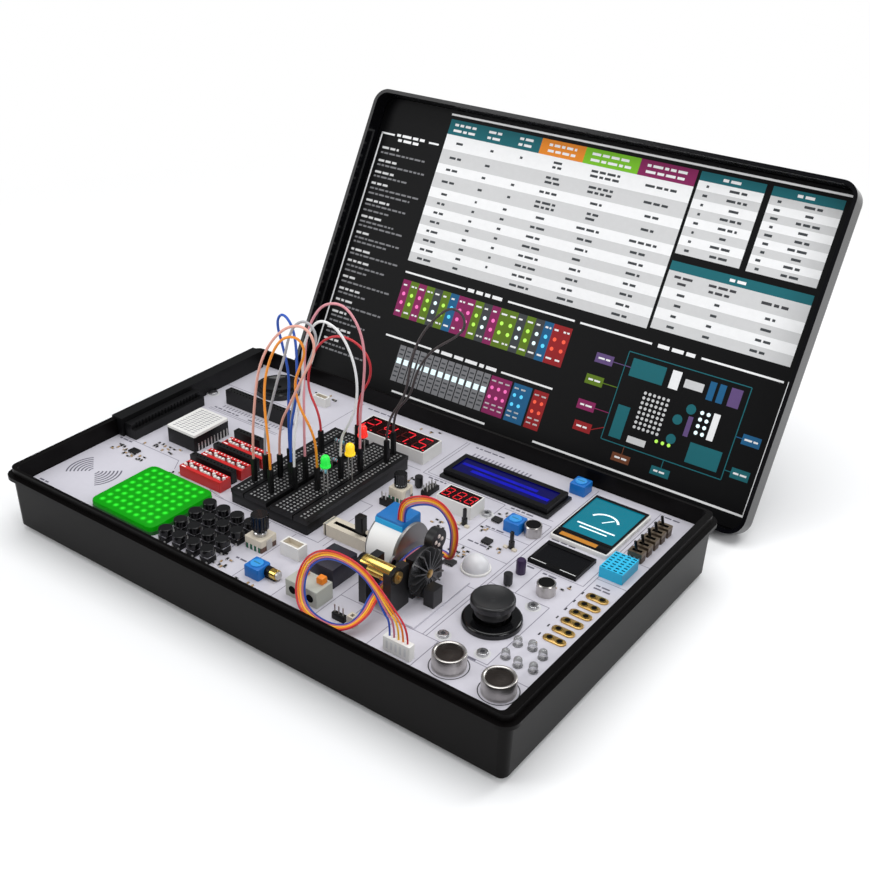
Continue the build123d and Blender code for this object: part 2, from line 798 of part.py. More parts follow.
def joystick_base():
    """Round collar with a spherical opening, and two posts for the gimbal's trunnions."""
    x, y = stick_at
    pivot = board_top + stick_pivot
    collar = post(stick_at, board_top, collar_high, collar_radius)
    collar = soften(collar, 1.5)
    collar -= Pos(x, y, pivot) * Sphere(dome_radius + gap)
    collar -= post(stick_at, board_top, pivot - board_top, dome_radius + gap)
    solids = [collar]
    for side in (-1, 1):
        at = (x + side * (trunnion_reach - post_thick / 2 - 0.1), y)
        stand = slab(at, (post_thick, 2.4), board_top, stick_pivot + 1.4)
        solids.append(stand - bar(x - dome_radius, 2 * dome_radius, y, pivot, trunnion + running))
    return solids


def joystick_gimbal():
    """Ring that tilts about X on two trunnions and carries the stick's cross pin."""
    x, y = stick_at
    pivot = board_top + stick_pivot
    bottom = pivot - gimbal_thick / 2
    ring = post(stick_at, bottom, gimbal_thick, gimbal_outer)
    for side in (-1, 1):
        start = x + gimbal_outer - 1 if side > 0 else x - trunnion_reach
        ring += bar(start, trunnion_reach - gimbal_outer + 1, y, pivot, trunnion)
    ring -= post(stick_at, bottom, gimbal_thick, gimbal_inner)
    return ring - cross_bar(stick_at, 3 * gimbal_outer, pivot, cross_pin + running)


def joystick_cap():
    """Thumb cap with a dished top, its neck, dome skirt, stem and cross pin."""
    x, y = stick_at
    pivot = board_top + stick_pivot
    cap = post(stick_at, board_top + thumb_bottom, thumb_top - thumb_bottom, thumb_radius)
    cap = fillet(cap.faces().sort_by(Axis.Z)[-1].edges(), 1.2)
    ball = (thumb_radius ** 2 + thumb_dish ** 2) / (2 * thumb_dish) * 0.75
    cap -= Pos(x, y, board_top + thumb_top + ball - thumb_dish) * Sphere(ball)
    shell = Sphere(dome_radius) - Sphere(dome_radius - dome_thick)
    low = dome_radius * math.cos(math.radians(dome_reach))
    shell -= Pos(0, 0, low - dome_radius) * Box(3 * dome_radius, 3 * dome_radius, 2 * dome_radius)
    neck_bottom = pivot + dome_radius - dome_thick
    neck_high = board_top + thumb_bottom - neck_bottom
    if neck_high > 0:
        cap += post(stick_at, neck_bottom, neck_high, 2 * stem_radius)
    cap += Pos(x, y, pivot) * shell
    cap += post(stick_at, pivot - 1.5, dome_radius, stem_radius)
    return cap + cross_bar(stick_at, 2 * gimbal_outer - 0.6, pivot, cross_pin)


def stepper_motor():
    """Round motor can with mounting ears, shaft boss and blue wire cap."""
    length = stepper_face - stepper_back
    can = bar(stepper_back, length, stepper_y, stepper_z, stepper_radius)
    can = fillet(can.faces().sort_by(Axis.X)[0].edges(), 1.0)
    ear_x = (stepper_face - stepper_ear[2], stepper_face)
    across = stepper_ear[0] / 2
    ears = between(ear_x, (stepper_y - across, stepper_y + across),
                   (stepper_z - stepper_ear[1] / 2, stepper_z + stepper_ear[1] / 2))
    for side in (-1, 1):
        y = stepper_y + side * across
        ears += bar(ear_x[0], stepper_ear[2], y, stepper_z, stepper_ear[1] / 2)
    for side in (-1, 1):
        ears -= bar(ear_x[0] - 1, 4, stepper_y + side * across, stepper_z, 2.0)
    can += ears
    can += bar(stepper_face, boss_out[1], stepper_y, stepper_z - shaft_offset, boss_out[0])
    can -= bar(stepper_face - 5, 20, stepper_y, stepper_z - shaft_offset, output_shaft + running)
    cap_x = (stepper_face - 1.5 - stepper_cap[0], stepper_face - 1.5)
    cap_y = (stepper_y + 1.5 - stepper_cap[1] / 2, stepper_y + 1.5 + stepper_cap[1] / 2)
    cap = between(cap_x, cap_y, (stepper_z + 8, stepper_z + stepper_cap[2]))
    cap = fillet(cap.edges().filter_by(Axis.X).sort_by(Axis.Z)[-2:], 2.0)
    cap -= bar(stepper_back - 5, 40, stepper_y, stepper_z, stepper_radius)
    return [can, cap]


def stepper_shaft():
    """The stepper's turning output shaft, with its two flats."""
    y = stepper_y
    z = stepper_z - shaft_offset
    shaft = bar(stepper_face - 5 + gap, output_end - stepper_face + 5 - gap, y, z, output_shaft)
    for side in (-1, 1):
        flat = between((output_end - 6, output_end), (y - 3, y + 3), (z + 1.5, z + 3))
        if side < 0:
            flat = between((output_end - 6, output_end), (y - 3, y + 3), (z - 3, z - 1.5))
        shaft -= flat
    return shaft


def motor_bracket():
    """Black bracket: thin floor, two cradle plates, the wheel's plate and the round head."""
    floor_top = board_top + bracket_floor
    body = between(bracket_x, bracket_y, (board_top, floor_top))
    body -= between((bracket_x[0] - 1, stepper_face + gap), (bracket_front[1], 0), (board_top, floor_top))
    for x in (bracket_left, bracket_right):
        body += between((x, x + bracket_plate), bracket_front, (board_top, bracket_top))
    body -= bar(bracket_left - 5, 40, gold_motor_y, gold_motor_z, gold_motor_radius)
    wheel_x = (bracket_right + gap, bracket_right + bracket_plate)
    body += between(wheel_x, wheel_plate_y, (board_top, wheel_plate_top))
    body += bar(wheel_x[0], bracket_plate, light_head[1], light_head[2], light_head_radius)
    body -= bar(wheel_x[0] - 1, 20, wheel_y, wheel_z, wheel_shaft + running)
    fork = between(fork_x, fork_y, (floor_top, board_top + fork_top))
    return body + fork


def gold_motor():
    """Small gold motor lying along X in the bracket's cradle, with black ends."""
    start, end = gold_motor_x
    can = bar(start, end - start, gold_motor_y, gold_motor_z, gold_motor_radius)
    ring = bar(end, 1.0, gold_motor_y, gold_motor_z, 3.0) + bar(end, 2.2, gold_motor_y, gold_motor_z, 1.0)
    return can + ring


def fan_wheel():
    """Wheel of thin radial blades on a backing disc, with its hub and shaft."""
    wheel = bar(wheel_start, wheel_disc, wheel_y, wheel_z, wheel_radius)
    for index in range(wheel_blades):
        turn = 360.0 * index / wheel_blades
        blade = Box(wheel_thick, wheel_radius, wheel_blade_thick, align=(Align.MIN, Align.MIN, Align.CENTER))
        wheel += Pos(wheel_start, wheel_y, wheel_z) * Rot(turn, 0, 0) * blade
    trim = bar(wheel_start - 1, wheel_thick + 2, wheel_y, wheel_z, wheel_radius)
    wheel = wheel & trim
    wheel += bar(wheel_start, wheel_thick, wheel_y, wheel_z, wheel_hub)
    back = bracket_right + gap
    return wheel + bar(back, wheel_start - back, wheel_y, wheel_z, wheel_shaft)


def lcd_display():
    """Character display: board, raised black bezel and its window."""
    body = slab(lcd_at, lcd_size, board_top, lcd_high)
    body += slab(lcd_at, lcd_bezel_size, board_top + lcd_high, lcd_bezel_high - lcd_high, 0.8)
    return body - slab(lcd_at, lcd_window, board_top + lcd_bezel_high - 0.6, 0.6)


def small_screens():
    """Colour screen and small mono screen, each with a sunk window."""
    tft = slab(tft_at, tft_size, board_top, tft_high, 0.8)
    tft -= slab(tft_window_at, tft_window, board_top + tft_high - 0.4, 0.4)
    oled = slab(oled_at, oled_size, board_top, oled_high, 0.6)
    oled -= slab((oled_at[0], oled_at[1] + 1), (oled_size[0] - 4, oled_size[1] - 8), board_top + oled_high - 0.3, 0.3)
    return [tft, oled]


def digit_displays():
    """Four-digit and three-digit displays in white housings."""
    solids = []
    for x, y, length, width in digits_wide:
        body = slab((x, y), (length, width), board_top, digits_high)
        face = (length - 2 * digits_lip, width - 2 * digits_lip)
        solids.append(body - slab((x, y), face, board_top + digits_high - 0.3, 0.3))
    return solids


def ultrasonic_cans():
    """Two metal cans, open at the top over a recessed mesh."""
    solids = []
    for at in sonar_at:
        can = post(at, board_top, sonar_high, sonar_radius)
        can = soften(can, 0.5)
        solids.append(can - post(at, board_top + sonar_high - sonar_recess, sonar_recess, sonar_mesh))
    return solids


def breadboard():
    """Plug-in board with a middle channel and grooves beside its power rails."""
    body = between(bread_x, bread_y, (board_top, board_top + bread_high), 0.8)
    middle = (bread_x[0] + bread_x[1]) / 2
    top = board_top + bread_high
    run = (bread_y[0] - 1, bread_y[1] + 1)
    body -= between((middle - bread_channel[0] / 2, middle + bread_channel[0] / 2), run, (top - bread_channel[1], top))
    for edge, way in ((bread_x[0], 1), (bread_x[1], -1)):
        line = edge + way * rail_inset
        body -= between((line - rail_groove / 2, line + rail_groove / 2), run, (top - rail_groove, top))
    return body


def breadboard_parts():
    """Three lamps on long legs, three resistors and the plug-in ends of the jumper wires."""
    top = board_top + bread_high
    solids = []
    for x, y in led_at:
        lamp = post((x, y), top + led_leg_high, led_high, led_radius)
        lamp = soften(lamp, led_radius * 0.9)
        lamp += post((x, y), top + led_leg_high, 1.0, led_radius + 0.4)
        for side in (-1, 1):
            lamp += slab((x + side * pin_pitch / 2, y), (led_leg, led_leg), top, led_leg_high)
        solids.append(lamp)
    for x, y in resistor_at:
        body = bar(x - resistor_length / 2, resistor_length, y, top + resistor_up, resistor_radius)
        for side in (-1, 1):
            foot = (x + side * (resistor_length / 2 + led_leg / 2), y)
            body += slab(foot, (led_leg, led_leg), top, resistor_up + led_leg / 2)
        solids.append(body)
    for route in routes.values():
        for x, y, z in (route[0], route[-1]):
            solids.append(slab((x, y), (jumper_side, jumper_side), top, z - top))
    return solids


def sensor_parts():
    """Small fixed sensors and chips, each seated on the board."""
    solids = [board_block(part) for part in chips]
    solids.append(board_block(humidity))
    solids.append(board_block(relay))
    body = board_block(terminal)
    for x in terminal_levers:
        body += slab((x, terminal[1] + 2.5), (4.0, 4.0), board_top + terminal[4], 3.4)
    solids.append(body)
    for at in trimmers:
        part = slab(at, (trimmer_side, trimmer_side), board_top, trimmer_high)
        solids.append(part - post(at, board_top + trimmer_high - 0.8, 0.8, 2.6))
    for x, y, radius, height in mic_cans:
        solids.append(soften(post((x, y), board_top, height, radius), 0.5))
    ring = post(dome_at, board_top, 1.2, motion_dome_radius + 0.8)
    ball = Pos(dome_at[0], dome_at[1], board_top + 1.2) * Sphere(motion_dome_radius)
    ring += ball & slab(dome_at, (20, 20), board_top + 1.2, motion_dome_high)
    solids.append(ring)
    for at in posts_at:
        solids.append(post(at, board_top, post_high, post_radius))
    x, y, radius, height = purple_can
    solids.append(post((x, y), board_top, height, radius))
    for at in transistors:
        solids.append(post(at, board_top, transistor_high, transistor_radius))
    x, y, length, wide = gold_part
    lying = bar(x - length / 2, length, y, board_top + wide / 2, wide / 2)
    solids.append(lying + slab((x, y), (length - 4, wide), board_top, wide / 2))
    solids.append(soften(post(speaker_at, board_top, speaker_high, speaker_radius), 0.8))
    for at in lamps:
        solids.append(soften(post(at, board_top, lamp_high, lamp_radius), lamp_radius * 0.9))
    return solids


def touch_pads():
    """Six flat oval pads, each with two eyelets."""
    solids = []
    for index in range(pad_count):
        y = pad_start + index * pad_pitch
        pad = slab((pad_x, y), pad_size, board_top, pad_high, pad_size[1] / 2 - 0.01)
        for side in (-1, 1):
            pad -= post((pad_x + side * pad_hole_gap / 2, y), board_top, pad_high, pad_hole)
        solids.append(pad)
    return solids


def board_connectors():
    """White sockets, black headers and the five-way plug of the stepper's ribbon."""
    solids = [board_block(part) for part in white_blocks + black_headers]
    plug = slab(plug_at, plug_size, board_top, plug_high, 0.5)
    solids.append(plug)
    return solids


def tube(name, points, diameter):
    """A round cord along straight runs and the widest arcs that they allow."""
    spots = [Vector(*point) for point in points]
    runs = [b - a for a, b in zip(spots, spots[1:])]
    radii = []
    for one, two in zip(runs, runs[1:]):
        half = math.radians(one.get_angle(two)) / 2
        radii.append(0.45 * min(one.length, two.length) / math.tan(half))
    path = FilletPolyline(*spots, radius=radii)
    section = Plane(origin=path @ 0, z_dir=path % 0) * Circle(diameter / 2)
    solid = sweep(section, path=path)
    whole = math.pi * diameter ** 2 / 4 * path.length
    print(name, "length", round(path.length, 1), "volume ratio", round(solid.volume / whole, 3))
    print("  radii", [round(radius, 1) for radius in radii])
    return solid


def jumper_wires():
    """Eight loose wires between plug-in ends."""
    return [tube(name, points, wire_diameter) for name, points in routes.items()]


save("base_tray", base_tray())
save("base_feet", *base_feet())
save("side_port_cover", side_port_cover())
save("hinge_pins", *hinge_pins())
save("lid_shell", lid_shell())
save("lid_panel", lid_panel())
save("circuit_board", circuit_board())
save("board_screws", *board_screws())
save("computer_board", *computer_board())
save("external_connector", external_connector())
save("channel_selector", *channel_selector())
save("socket_strips", *socket_strips())
save("dip_switches", *dip_switches())
save("led_matrix", *led_matrix())
save("button_bases", *button_bases())
for number, place in enumerate(button_places(), 1):
    save(f"button_cap_{number}", button_cap(place))
save("control_bodies", *control_bodies())
save("encoder_knob", encoder_knob())
save("pot_knob", pot_knob())
save("slide_lever", slide_lever())
save("toggle_bodies", *toggle_bodies())
for number, row in enumerate(toggle_rows, 1):
    save(f"toggle_lever_{number}", toggle_lever_part(row))
save("joystick_base", *joystick_base())
save("joystick_gimbal", joystick_gimbal())
save("joystick_cap", joystick_cap())
save("stepper_motor", *stepper_motor())
save("stepper_shaft", stepper_shaft())
save("motor_bracket", motor_bracket())
save("gold_motor", gold_motor())
save("fan_wheel", fan_wheel())
save("lcd_display", lcd_display())
save("small_screens", *small_screens())
save("digit_displays", *digit_displays())
save("ultrasonic_cans", *ultrasonic_cans())
save("breadboard", breadboard())
save("breadboard_parts", *breadboard_parts())
save("sensor_parts", *sensor_parts())
save("touch_pads", *touch_pads())
save("board_connectors", *board_connectors())
save("jumper_wires", *jumper_wires())
save("motor_ribbon", tube("ribbon", ribbon_route, ribbon_diameter))
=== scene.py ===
import json
import math

import bpy
import numpy as np
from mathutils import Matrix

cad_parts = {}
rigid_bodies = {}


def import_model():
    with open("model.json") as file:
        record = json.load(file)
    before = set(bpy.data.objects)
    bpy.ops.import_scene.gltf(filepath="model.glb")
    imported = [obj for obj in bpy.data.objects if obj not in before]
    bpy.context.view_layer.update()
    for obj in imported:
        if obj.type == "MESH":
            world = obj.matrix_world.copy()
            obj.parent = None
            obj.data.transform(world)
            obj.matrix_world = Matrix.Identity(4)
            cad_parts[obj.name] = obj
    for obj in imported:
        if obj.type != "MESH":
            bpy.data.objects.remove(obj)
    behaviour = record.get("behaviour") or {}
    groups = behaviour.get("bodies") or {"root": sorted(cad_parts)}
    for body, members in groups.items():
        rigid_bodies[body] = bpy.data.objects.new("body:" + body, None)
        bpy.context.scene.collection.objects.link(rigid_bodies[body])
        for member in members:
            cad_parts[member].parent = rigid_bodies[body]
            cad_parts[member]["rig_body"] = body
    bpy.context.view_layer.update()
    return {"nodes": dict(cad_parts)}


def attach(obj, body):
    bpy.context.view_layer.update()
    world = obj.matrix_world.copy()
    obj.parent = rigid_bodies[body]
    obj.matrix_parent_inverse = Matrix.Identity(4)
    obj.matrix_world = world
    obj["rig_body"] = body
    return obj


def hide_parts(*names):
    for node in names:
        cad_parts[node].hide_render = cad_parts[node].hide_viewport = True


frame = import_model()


# Its place, turn and lens were recovered from the straight edges of the case.
def linked(name, data):
    """An object that holds some data, put into the scene."""
    made = bpy.data.objects.new(name, data)
    bpy.context.scene.collection.objects.link(made)
    return made


def aimed(thing, side, up, back, place):
    """Turn an object's own axes to three unit vectors and put it at a place, in metres."""
    matrix = np.eye(4)
    matrix[:3] = np.stack([side, up, back, place], -1)
    thing.matrix_world = matrix.T.tolist()


eye = np.array([358.48, -430.99, 382.34]) / 1000
azimuth, elevation, roll = np.radians([36.43, 29.45, -0.96])
forward = np.array([
    -math.sin(azimuth) * math.cos(elevation),
    math.cos(azimuth) * math.cos(elevation),
    -math.sin(elevation),
])
level = np.array([math.cos(azimuth), math.sin(azimuth), 0.0])
down = np.cross(forward, level)
camera = linked("camera", bpy.data.cameras.new("camera"))
camera.data.sensor_width = 36.0
camera.data.lens = 50.78
camera.data.shift_x = 0.0225
camera.data.shift_y = 0.0086
camera.data.clip_start = 0.01
aimed(camera, math.cos(roll) * level + math.sin(roll) * down,
      math.sin(roll) * level - math.cos(roll) * down, -forward, eye)
bpy.context.scene.camera = camera
bpy.context.scene.view_settings.view_transform = "Standard"


# Eight loose jumper wires loop high over the breadboard between their plug-in ends.
# Each is stranded wire in a soft coloured sleeve, a little uneven in colour along its length.
def feed(tree, node, inputs):
    """Set a node's inputs by name or number: a socket is linked, and anything else is the value."""
    for name, value in inputs.items():
        if isinstance(value, bpy.types.NodeSocket):
            tree.links.new(value, node.inputs[name])
        else:
            node.inputs[name].default_value = value


def add_node(tree, kind, inputs, **settings):
    """A new shader node of one kind, with its settings made before its inputs are fed."""
    made = tree.nodes.new("ShaderNode" + kind)
    for name, setting in settings.items():
        setattr(made, name, setting)
    feed(tree, made, inputs)
    return made


def finish(name, colour, roughness, metallic=0.0, tint=0.06, grain=0.05, scale=900.0,
           specular=0.5, glow=0.0, through=0.0):
    """A surface: its colour, roughness and bump all follow one fine noise on Object coordinates."""
    material = bpy.data.materials.new(name)
    material.use_nodes = True
    tree = material.node_tree
    shader = tree.nodes["Principled BSDF"]
    place = add_node(tree, "TexCoord", {})
    noise = add_node(tree, "TexNoise", {"Vector": place.outputs["Object"], "Scale": scale, "Detail": 4.0})
    noise = noise.outputs["Fac"]
    shade = add_node(tree, "Mix", {
        "A": (*[max(0.0, c * (1 - tint)) for c in colour], 1),
        "B": (*[min(1.0, c * (1 + tint)) for c in colour], 1),
        "Factor": noise,
    }, data_type="RGBA")
    gloss = add_node(tree, "MapRange", {
        "Value": noise, "To Min": roughness * 0.85, "To Max": min(1.0, roughness * 1.15)})
    feed(tree, shader, {
        "Base Color": shade.outputs["Result"], "Roughness": gloss.outputs["Result"],
        "Metallic": metallic, "Specular IOR Level": specular, "Transmission Weight": through})
    if grain:
        bump = add_node(tree, "Bump", {"Strength": grain, "Distance": 0.0002, "Height": noise})
        feed(tree, shader, {"Normal": bump.outputs["Normal"]})
    if glow:
        feed(tree, shader, {"Emission Color": shade.outputs["Result"], "Emission Strength": glow})
    return material


def cord_line(name, route, diameter, material):
    """A round cord: its line is a quadratic NURBS spline with the route's points, in mm, as controls."""
    curve = bpy.data.curves.new(name, "CURVE")
    curve.dimensions = "3D"
    spline = curve.splines.new("NURBS")
    spline.points.add(len(route) - 1)
    points = np.c_[np.array(route, float) / 1000, np.ones(len(route))]
    spline.points.foreach_set("co", points.ravel())
    spline.order_u = 3
    spline.use_endpoint_u = True
    spline.resolution_u = 10
    curve.bevel_depth = diameter / 2000
    curve.bevel_resolution = 3
    curve.use_fill_caps = True
    curve.materials.append(material)
    return linked(name, curve)


jumper_diameter = 1.4
plug_top = 49
jumpers = {
    "salmon": ((0.80, 0.40, 0.32), 0.192, [
        (-50, -24, 62), (-48, -22, 88), (-46, -21, 101), (-41, -21, 113),
        (-34, -20, 124), (-25, -19, 132), (-15, -18, 134), (-10, -17, 127), (-12, -16, 117),
        (-19, -16.5, 105), (-28, -16.5, 87), (-42, -12, 66)]),
    "orange": ((0.90, 0.30, 0.02), 0.168, [
        (-35, -27, 62), (-40, -24, 81), (-41, -22, 98), (-36, -21, 114),
        (-29, -20, 125), (-20, -18, 127), (-17, -16, 119), (-22, -15, 109), (-27, -14.5, 98),
        (-25, -14.5, 86), (-18, -12, 72), (-17, -10, 60)]),
    "grey": ((0.42, 0.42, 0.44), 0.182, [
        (-48, -17, 62), (-43, -15, 82), (-37, -15, 100), (-33, -14, 112),
        (-30, -14, 123), (-26, -13, 131), (-19, -12, 134), (-14, -11, 128), (-17, -9, 119),
        (-23, -7, 108), (-30, -6.5, 93), (-38, -7, 74)]),
    "blue": ((0.015, 0.09, 0.48), 0.171, [
        (-32, -14, 68), (-28, -12, 88), (-27, -12, 104), (-28, -11, 120),
        (-32, -10, 129), (-39, -9, 132), (-44, -8, 125), (-41, -7, 112), (-38, -6, 95),
        (-42, -4, 74)]),
    "white": ((0.80, 0.80, 0.80), 0.185, [
        (-27, -17, 68), (-26, -9, 93), (-26, -9, 112), (-23, -8, 124),
        (-16, -7, 134), (-7, -5, 132), (-1, -2, 122), (3, 0, 106), (1, 2, 87), (-7, 4, 71),
        (-15, 7, 60)]),
    "pink": ((0.72, 0.30, 0.34), 0.191, [
        (-30, -5, 69), (-35, 2, 95), (-34, 3, 114), (-31, 5, 126), (-24, 7, 136),
        (-13, 10, 137), (-5, 12, 126), (-3, 14, 110), (-7, 17, 88), (-12, 20, 68)]),
    "red": ((0.55, 0.03, 0.04), 0.141, [
        (-42, 22, 58), (-54, 25, 71), (-53, 27, 86), (-48, 28, 98), (-38, 30, 106),
        (-25, 32, 106), (-16, 34, 97), (-17, 36, 84), (-25, 38, 72), (-30, 40, 61)]),
    "brown": ((0.045, 0.035, 0.035), 0.205, [
        (-6, 36, 61), (6, 37, 80), (8, 38, 98), (11, 39, 111), (17, 39, 122),
        (24, 40, 131), (31, 41, 137), (38, 42, 135), (39, 43, 127), (33, 43, 120), (25, 43, 114),
        (16, 44, 106), (8, 44, 93), (3, 45, 75), (-9, 46, 62)]),
}
for colour_name, (colour, length, loop) in jumpers.items():
    sleeve = finish(f"{colour_name}_sleeve", colour, 0.42, grain=0.1, scale=1500)
    route = [(*loop[0][:2], plug_top), *loop, (*loop[-1][:2], plug_top)]
    wire = cord_line(f"jumper_{colour_name}", route, jumper_diameter, sleeve)
    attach(wire, "base")
    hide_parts("jumper_wires")


# The stepper's ribbon is five thin wires side by side. They leave the top of its blue cap, drop
# behind the fan, pass under the small motor and loop forward to the five-way white plug.
ribbon_diameter = 0.95
ribbon_route = np.array([
    (58, -34, 57.7), (58, -34, 64.5), (63, -35, 71), (73, -35, 76), (81, -34, 75.5), (86, -32, 68),
    (86, -29, 58), (83, -26, 47), (79, -22, 38), (72, -19, 37), (66.5, -24, 41), (66, -33, 42.5),
    (66, -43, 41), (66, -53, 38), (66.5, -62, 37), (69.5, -71, 38), (71.5, -79, 35), (69, -87, 31),
    (61, -91, 29.5), (51, -91, 29.5), (42, -89, 31), (36.5, -85, 37), (36, -81, 46),
    (41.5, -80, 54.5), (51, -80, 60.5), (62, -80.5, 62), (72.5, -81, 60), (81, -82, 54.5),
    (88.5, -83.3, 47.5), (94.85, -84, 42.5), (94.85, -84, 34.7)])
ribbon_colours = {
    "blue": (0.01, 0.06, 0.40),
    "pink": (0.55, 0.16, 0.24),
    "yellow": (0.92, 0.52, 0.03),
    "orange": (0.88, 0.22, 0.01),
    "red": (0.55, 0.015, 0.03),
}
ribbon_pitch = np.full(len(ribbon_route), 1.1)
ribbon_pitch[:2] = 1.0
ribbon_pitch[-3:] = 1.9, 2.54, 2.54
heading = np.gradient(ribbon_route, axis=0)
outward = np.cross(heading, [0.0, 1.0, 0.0])
low = outward[:, 2] < 0
outward[low, 1] = outward[low, 2]
outward[low, 2] = 0
corridor = slice(10, 16)
outward[corridor] = (1.0, 0.0, 0.0)
outward[-2:] = (1.0, 0.0, 0.0)
outward /= np.linalg.norm(outward, axis=1)[:, None]
for number, (colour_name, colour) in enumerate(ribbon_colours.items()):
    sleeve = finish(f"ribbon_{colour_name}_sleeve", colour, 0.4, grain=0.1, scale=1500)
    route = ribbon_route + outward * (ribbon_pitch * (number - 2))[:, None]
    wire = cord_line(f"ribbon_{colour_name}", route, ribbon_diameter, sleeve)
    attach(wire, "base")
    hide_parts("motor_ribbon")


def mesh_of(name, points, faces, kinds):
    """A mesh object from points in mm, faces, and one material for each face."""
    mesh = bpy.data.meshes.new(name)
    mesh.from_pydata((np.asarray(points) / 1000).tolist(), [], faces)
    materials = list(dict.fromkeys(kinds))
    for material in materials:
        mesh.materials.append(material)
    mesh.polygons.foreach_set("material_index", [materials.index(kind) for kind in kinds])
    return linked(name, mesh)


floor_white = finish("floor_white", (0.93, 0.93, 0.93), 0.9, tint=0.0, grain=0.0)
across, along = np.meshgrid([-6000, 0, 6000], [-6000, 0, 6000])
floor = mesh_of("floor", np.c_[across.ravel(), along.ravel(), np.full(9, -3.0)],
                [(0, 1, 4, 3), (1, 2, 5, 4), (3, 4, 7, 6), (4, 5, 8, 7)], [floor_white] * 4)
tree = floor_white.node_tree
place = add_node(tree, "TexCoord", {})
reach = add_node(tree, "VectorMath", {0: place.outputs["Object"]}, operation="LENGTH")
fade = add_node(tree, "MapRange", {
    "Value": reach.outputs["Value"], "From Min": 0.32, "From Max": 0.75})
blend = add_node(tree, "MixShader", {
    "Fac": fade.outputs["Result"], 1: tree.nodes["Principled BSDF"].outputs[0],
    2: add_node(tree, "Emission", {}).outputs[0]})
feed(tree, tree.nodes["Material Output"], {"Surface": blend.outputs[0]})
world = bpy.data.worlds.new("surround")
bpy.context.scene.world = world
world.use_nodes = True
tree = world.node_tree
rays = add_node(tree, "LightPath", {}).outputs
seen = add_node(tree, "Math", {0: rays["Is Camera Ray"], 1: rays["Is Transmission Ray"]},
                operation="MAXIMUM")
backdrop = add_node(tree, "Background", {"Color": (1, 1, 1, 1), "Strength": 1.0})
dimmed = add_node(tree, "MapRange", {"Value": rays["Is Glossy Ray"], "To Min": 0.55, "To Max": 0.20})
ambient = tree.nodes["Background"]
feed(tree, ambient, {"Color": (0.95, 0.97, 1.0, 1), "Strength": dimmed.outputs["Result"]})
choice = add_node(tree, "MixShader", {
    "Fac": seen.outputs[0], 1: ambient.outputs[0], 2: backdrop.outputs[0]})
feed(tree, tree.nodes["World Output"], {"Surface": choice.outputs[0]})


def soft_lamp(name, place, aim, size, power):
    """A square area lamp at a place, turned to face a point."""
    lamp = linked(name, bpy.data.lights.new(name, "AREA"))
    lamp.data.size = size
    lamp.data.energy = power
    back = np.array(place, float) - np.array(aim, float)
    back /= np.linalg.norm(back)
    side = np.cross((0.0, 1.0, 0.0) if abs(back[2]) > 0.9 else (0.0, 0.0, 1.0), back)
    side /= np.linalg.norm(side)
    aimed(lamp, side, np.cross(back, side), back, place)


soft_lamp("lamp_above", (0.0, 0.1, 1.3), (0.0, 0.0, 0.0), 1.0, 9.0)
soft_lamp("lamp_front_left", (-1.0, -1.1, 0.9), (0.0, 0.0, 0.05), 0.8, 7.0)
soft_lamp("lamp_behind", (0.5, 1.3, 0.9), (0.0, 0.0, 0.05), 0.6, 7.0)
soft_lamp("lamp_right", (1.4, -0.3, 0.8), (0.0, 0.0, 0.05), 0.6, 5.0)


# The base tray is moulded in satin black plastic with a fine grain. Its flange carries the closed
# lid, a ring stands above it, and four rubber feet sit in pockets underneath.
def painted(material, *nodes):
    """Give each node's own object one finish."""
    for node in nodes:
        slots = frame["nodes"][node].data.materials
        slots.clear()
        slots.append(material)


satin_black = finish("satin_black", (0.0030, 0.0025, 0.0025), 0.30, tint=0.3, grain=0.08, scale=2500,
                     specular=0.08)
soft_rubber = finish("soft_rubber", (0.012, 0.012, 0.012), 0.75, tint=0.2, grain=0.3, scale=1800)
bright_steel = finish("bright_steel", (0.55, 0.55, 0.56), 0.28, metallic=1.0, tint=0.1, scale=700)
painted(satin_black, "base_tray")
painted(soft_rubber, "base_feet")
painted(bright_steel, "hinge_pins")


# The block along the left wall covers the computer's ports. It is a dull black moulding with a
# cut front end, and its top has a fine seam along the middle.
painted(finish("dull_black", (0.005, 0.005, 0.0055), 0.45, tint=0.3, grain=0.15, scale=2500, specular=0.2),
        "side_port_cover")


# Under the board at the left rear, out of sight, sits a single-board computer: glass fibre under
# green solder mask, with steel-cased ports soldered to it.
painted(finish("green_board", (0.02, 0.16, 0.06), 0.4, tint=0.25, scale=300), "computer_board")


# The lid is a gloss black moulding that turns on the two hinge pins. A thin black printed sheet
# lies on a ledge a little below its rim.
painted(finish("lid_gloss", (0.003, 0.003, 0.004), 0.15, tint=0.2, grain=0.02, scale=600, specular=0.25),
        "lid_shell")
painted(finish("sheet_black", (0.003, 0.003, 0.0035), 0.45, tint=0.2, grain=0.03, specular=0.12),
        "lid_panel")


# The chart on the lid's sheet is screen-printed: tables of grey words on white and grey rows under
# coloured headings, two rows of coloured pin strips, a column of notes and a block diagram.
hinge = np.array([108.8, 9.2])
lid_turn = -math.radians(118.74)
sheet_front = 101.85
sheet_level = 44.86


def opened(flat):
    """Chart points (across, up) put on the closed lid's sheet, then swung back about the hinge pin."""
    flat = np.asarray(flat, float)
    y = sheet_front - flat[..., 1] - hinge[0]
    z = sheet_level - hinge[1]
    swung_y = hinge[0] + y * math.cos(lid_turn) - z * math.sin(lid_turn)
    swung_z = hinge[1] + y * math.sin(lid_turn) + z * math.cos(lid_turn)
    return np.stack([flat[..., 0], swung_y, swung_z], -1)


def bars(boxes):
    """Flat rectangles from rows of (left, bottom, right, top): the four corners of each, in order."""
    boxes = np.asarray(boxes, float).reshape(-1, 4)
    return boxes[:, [0, 1, 2, 1, 2, 3, 0, 3]].reshape(-1, 4, 2)


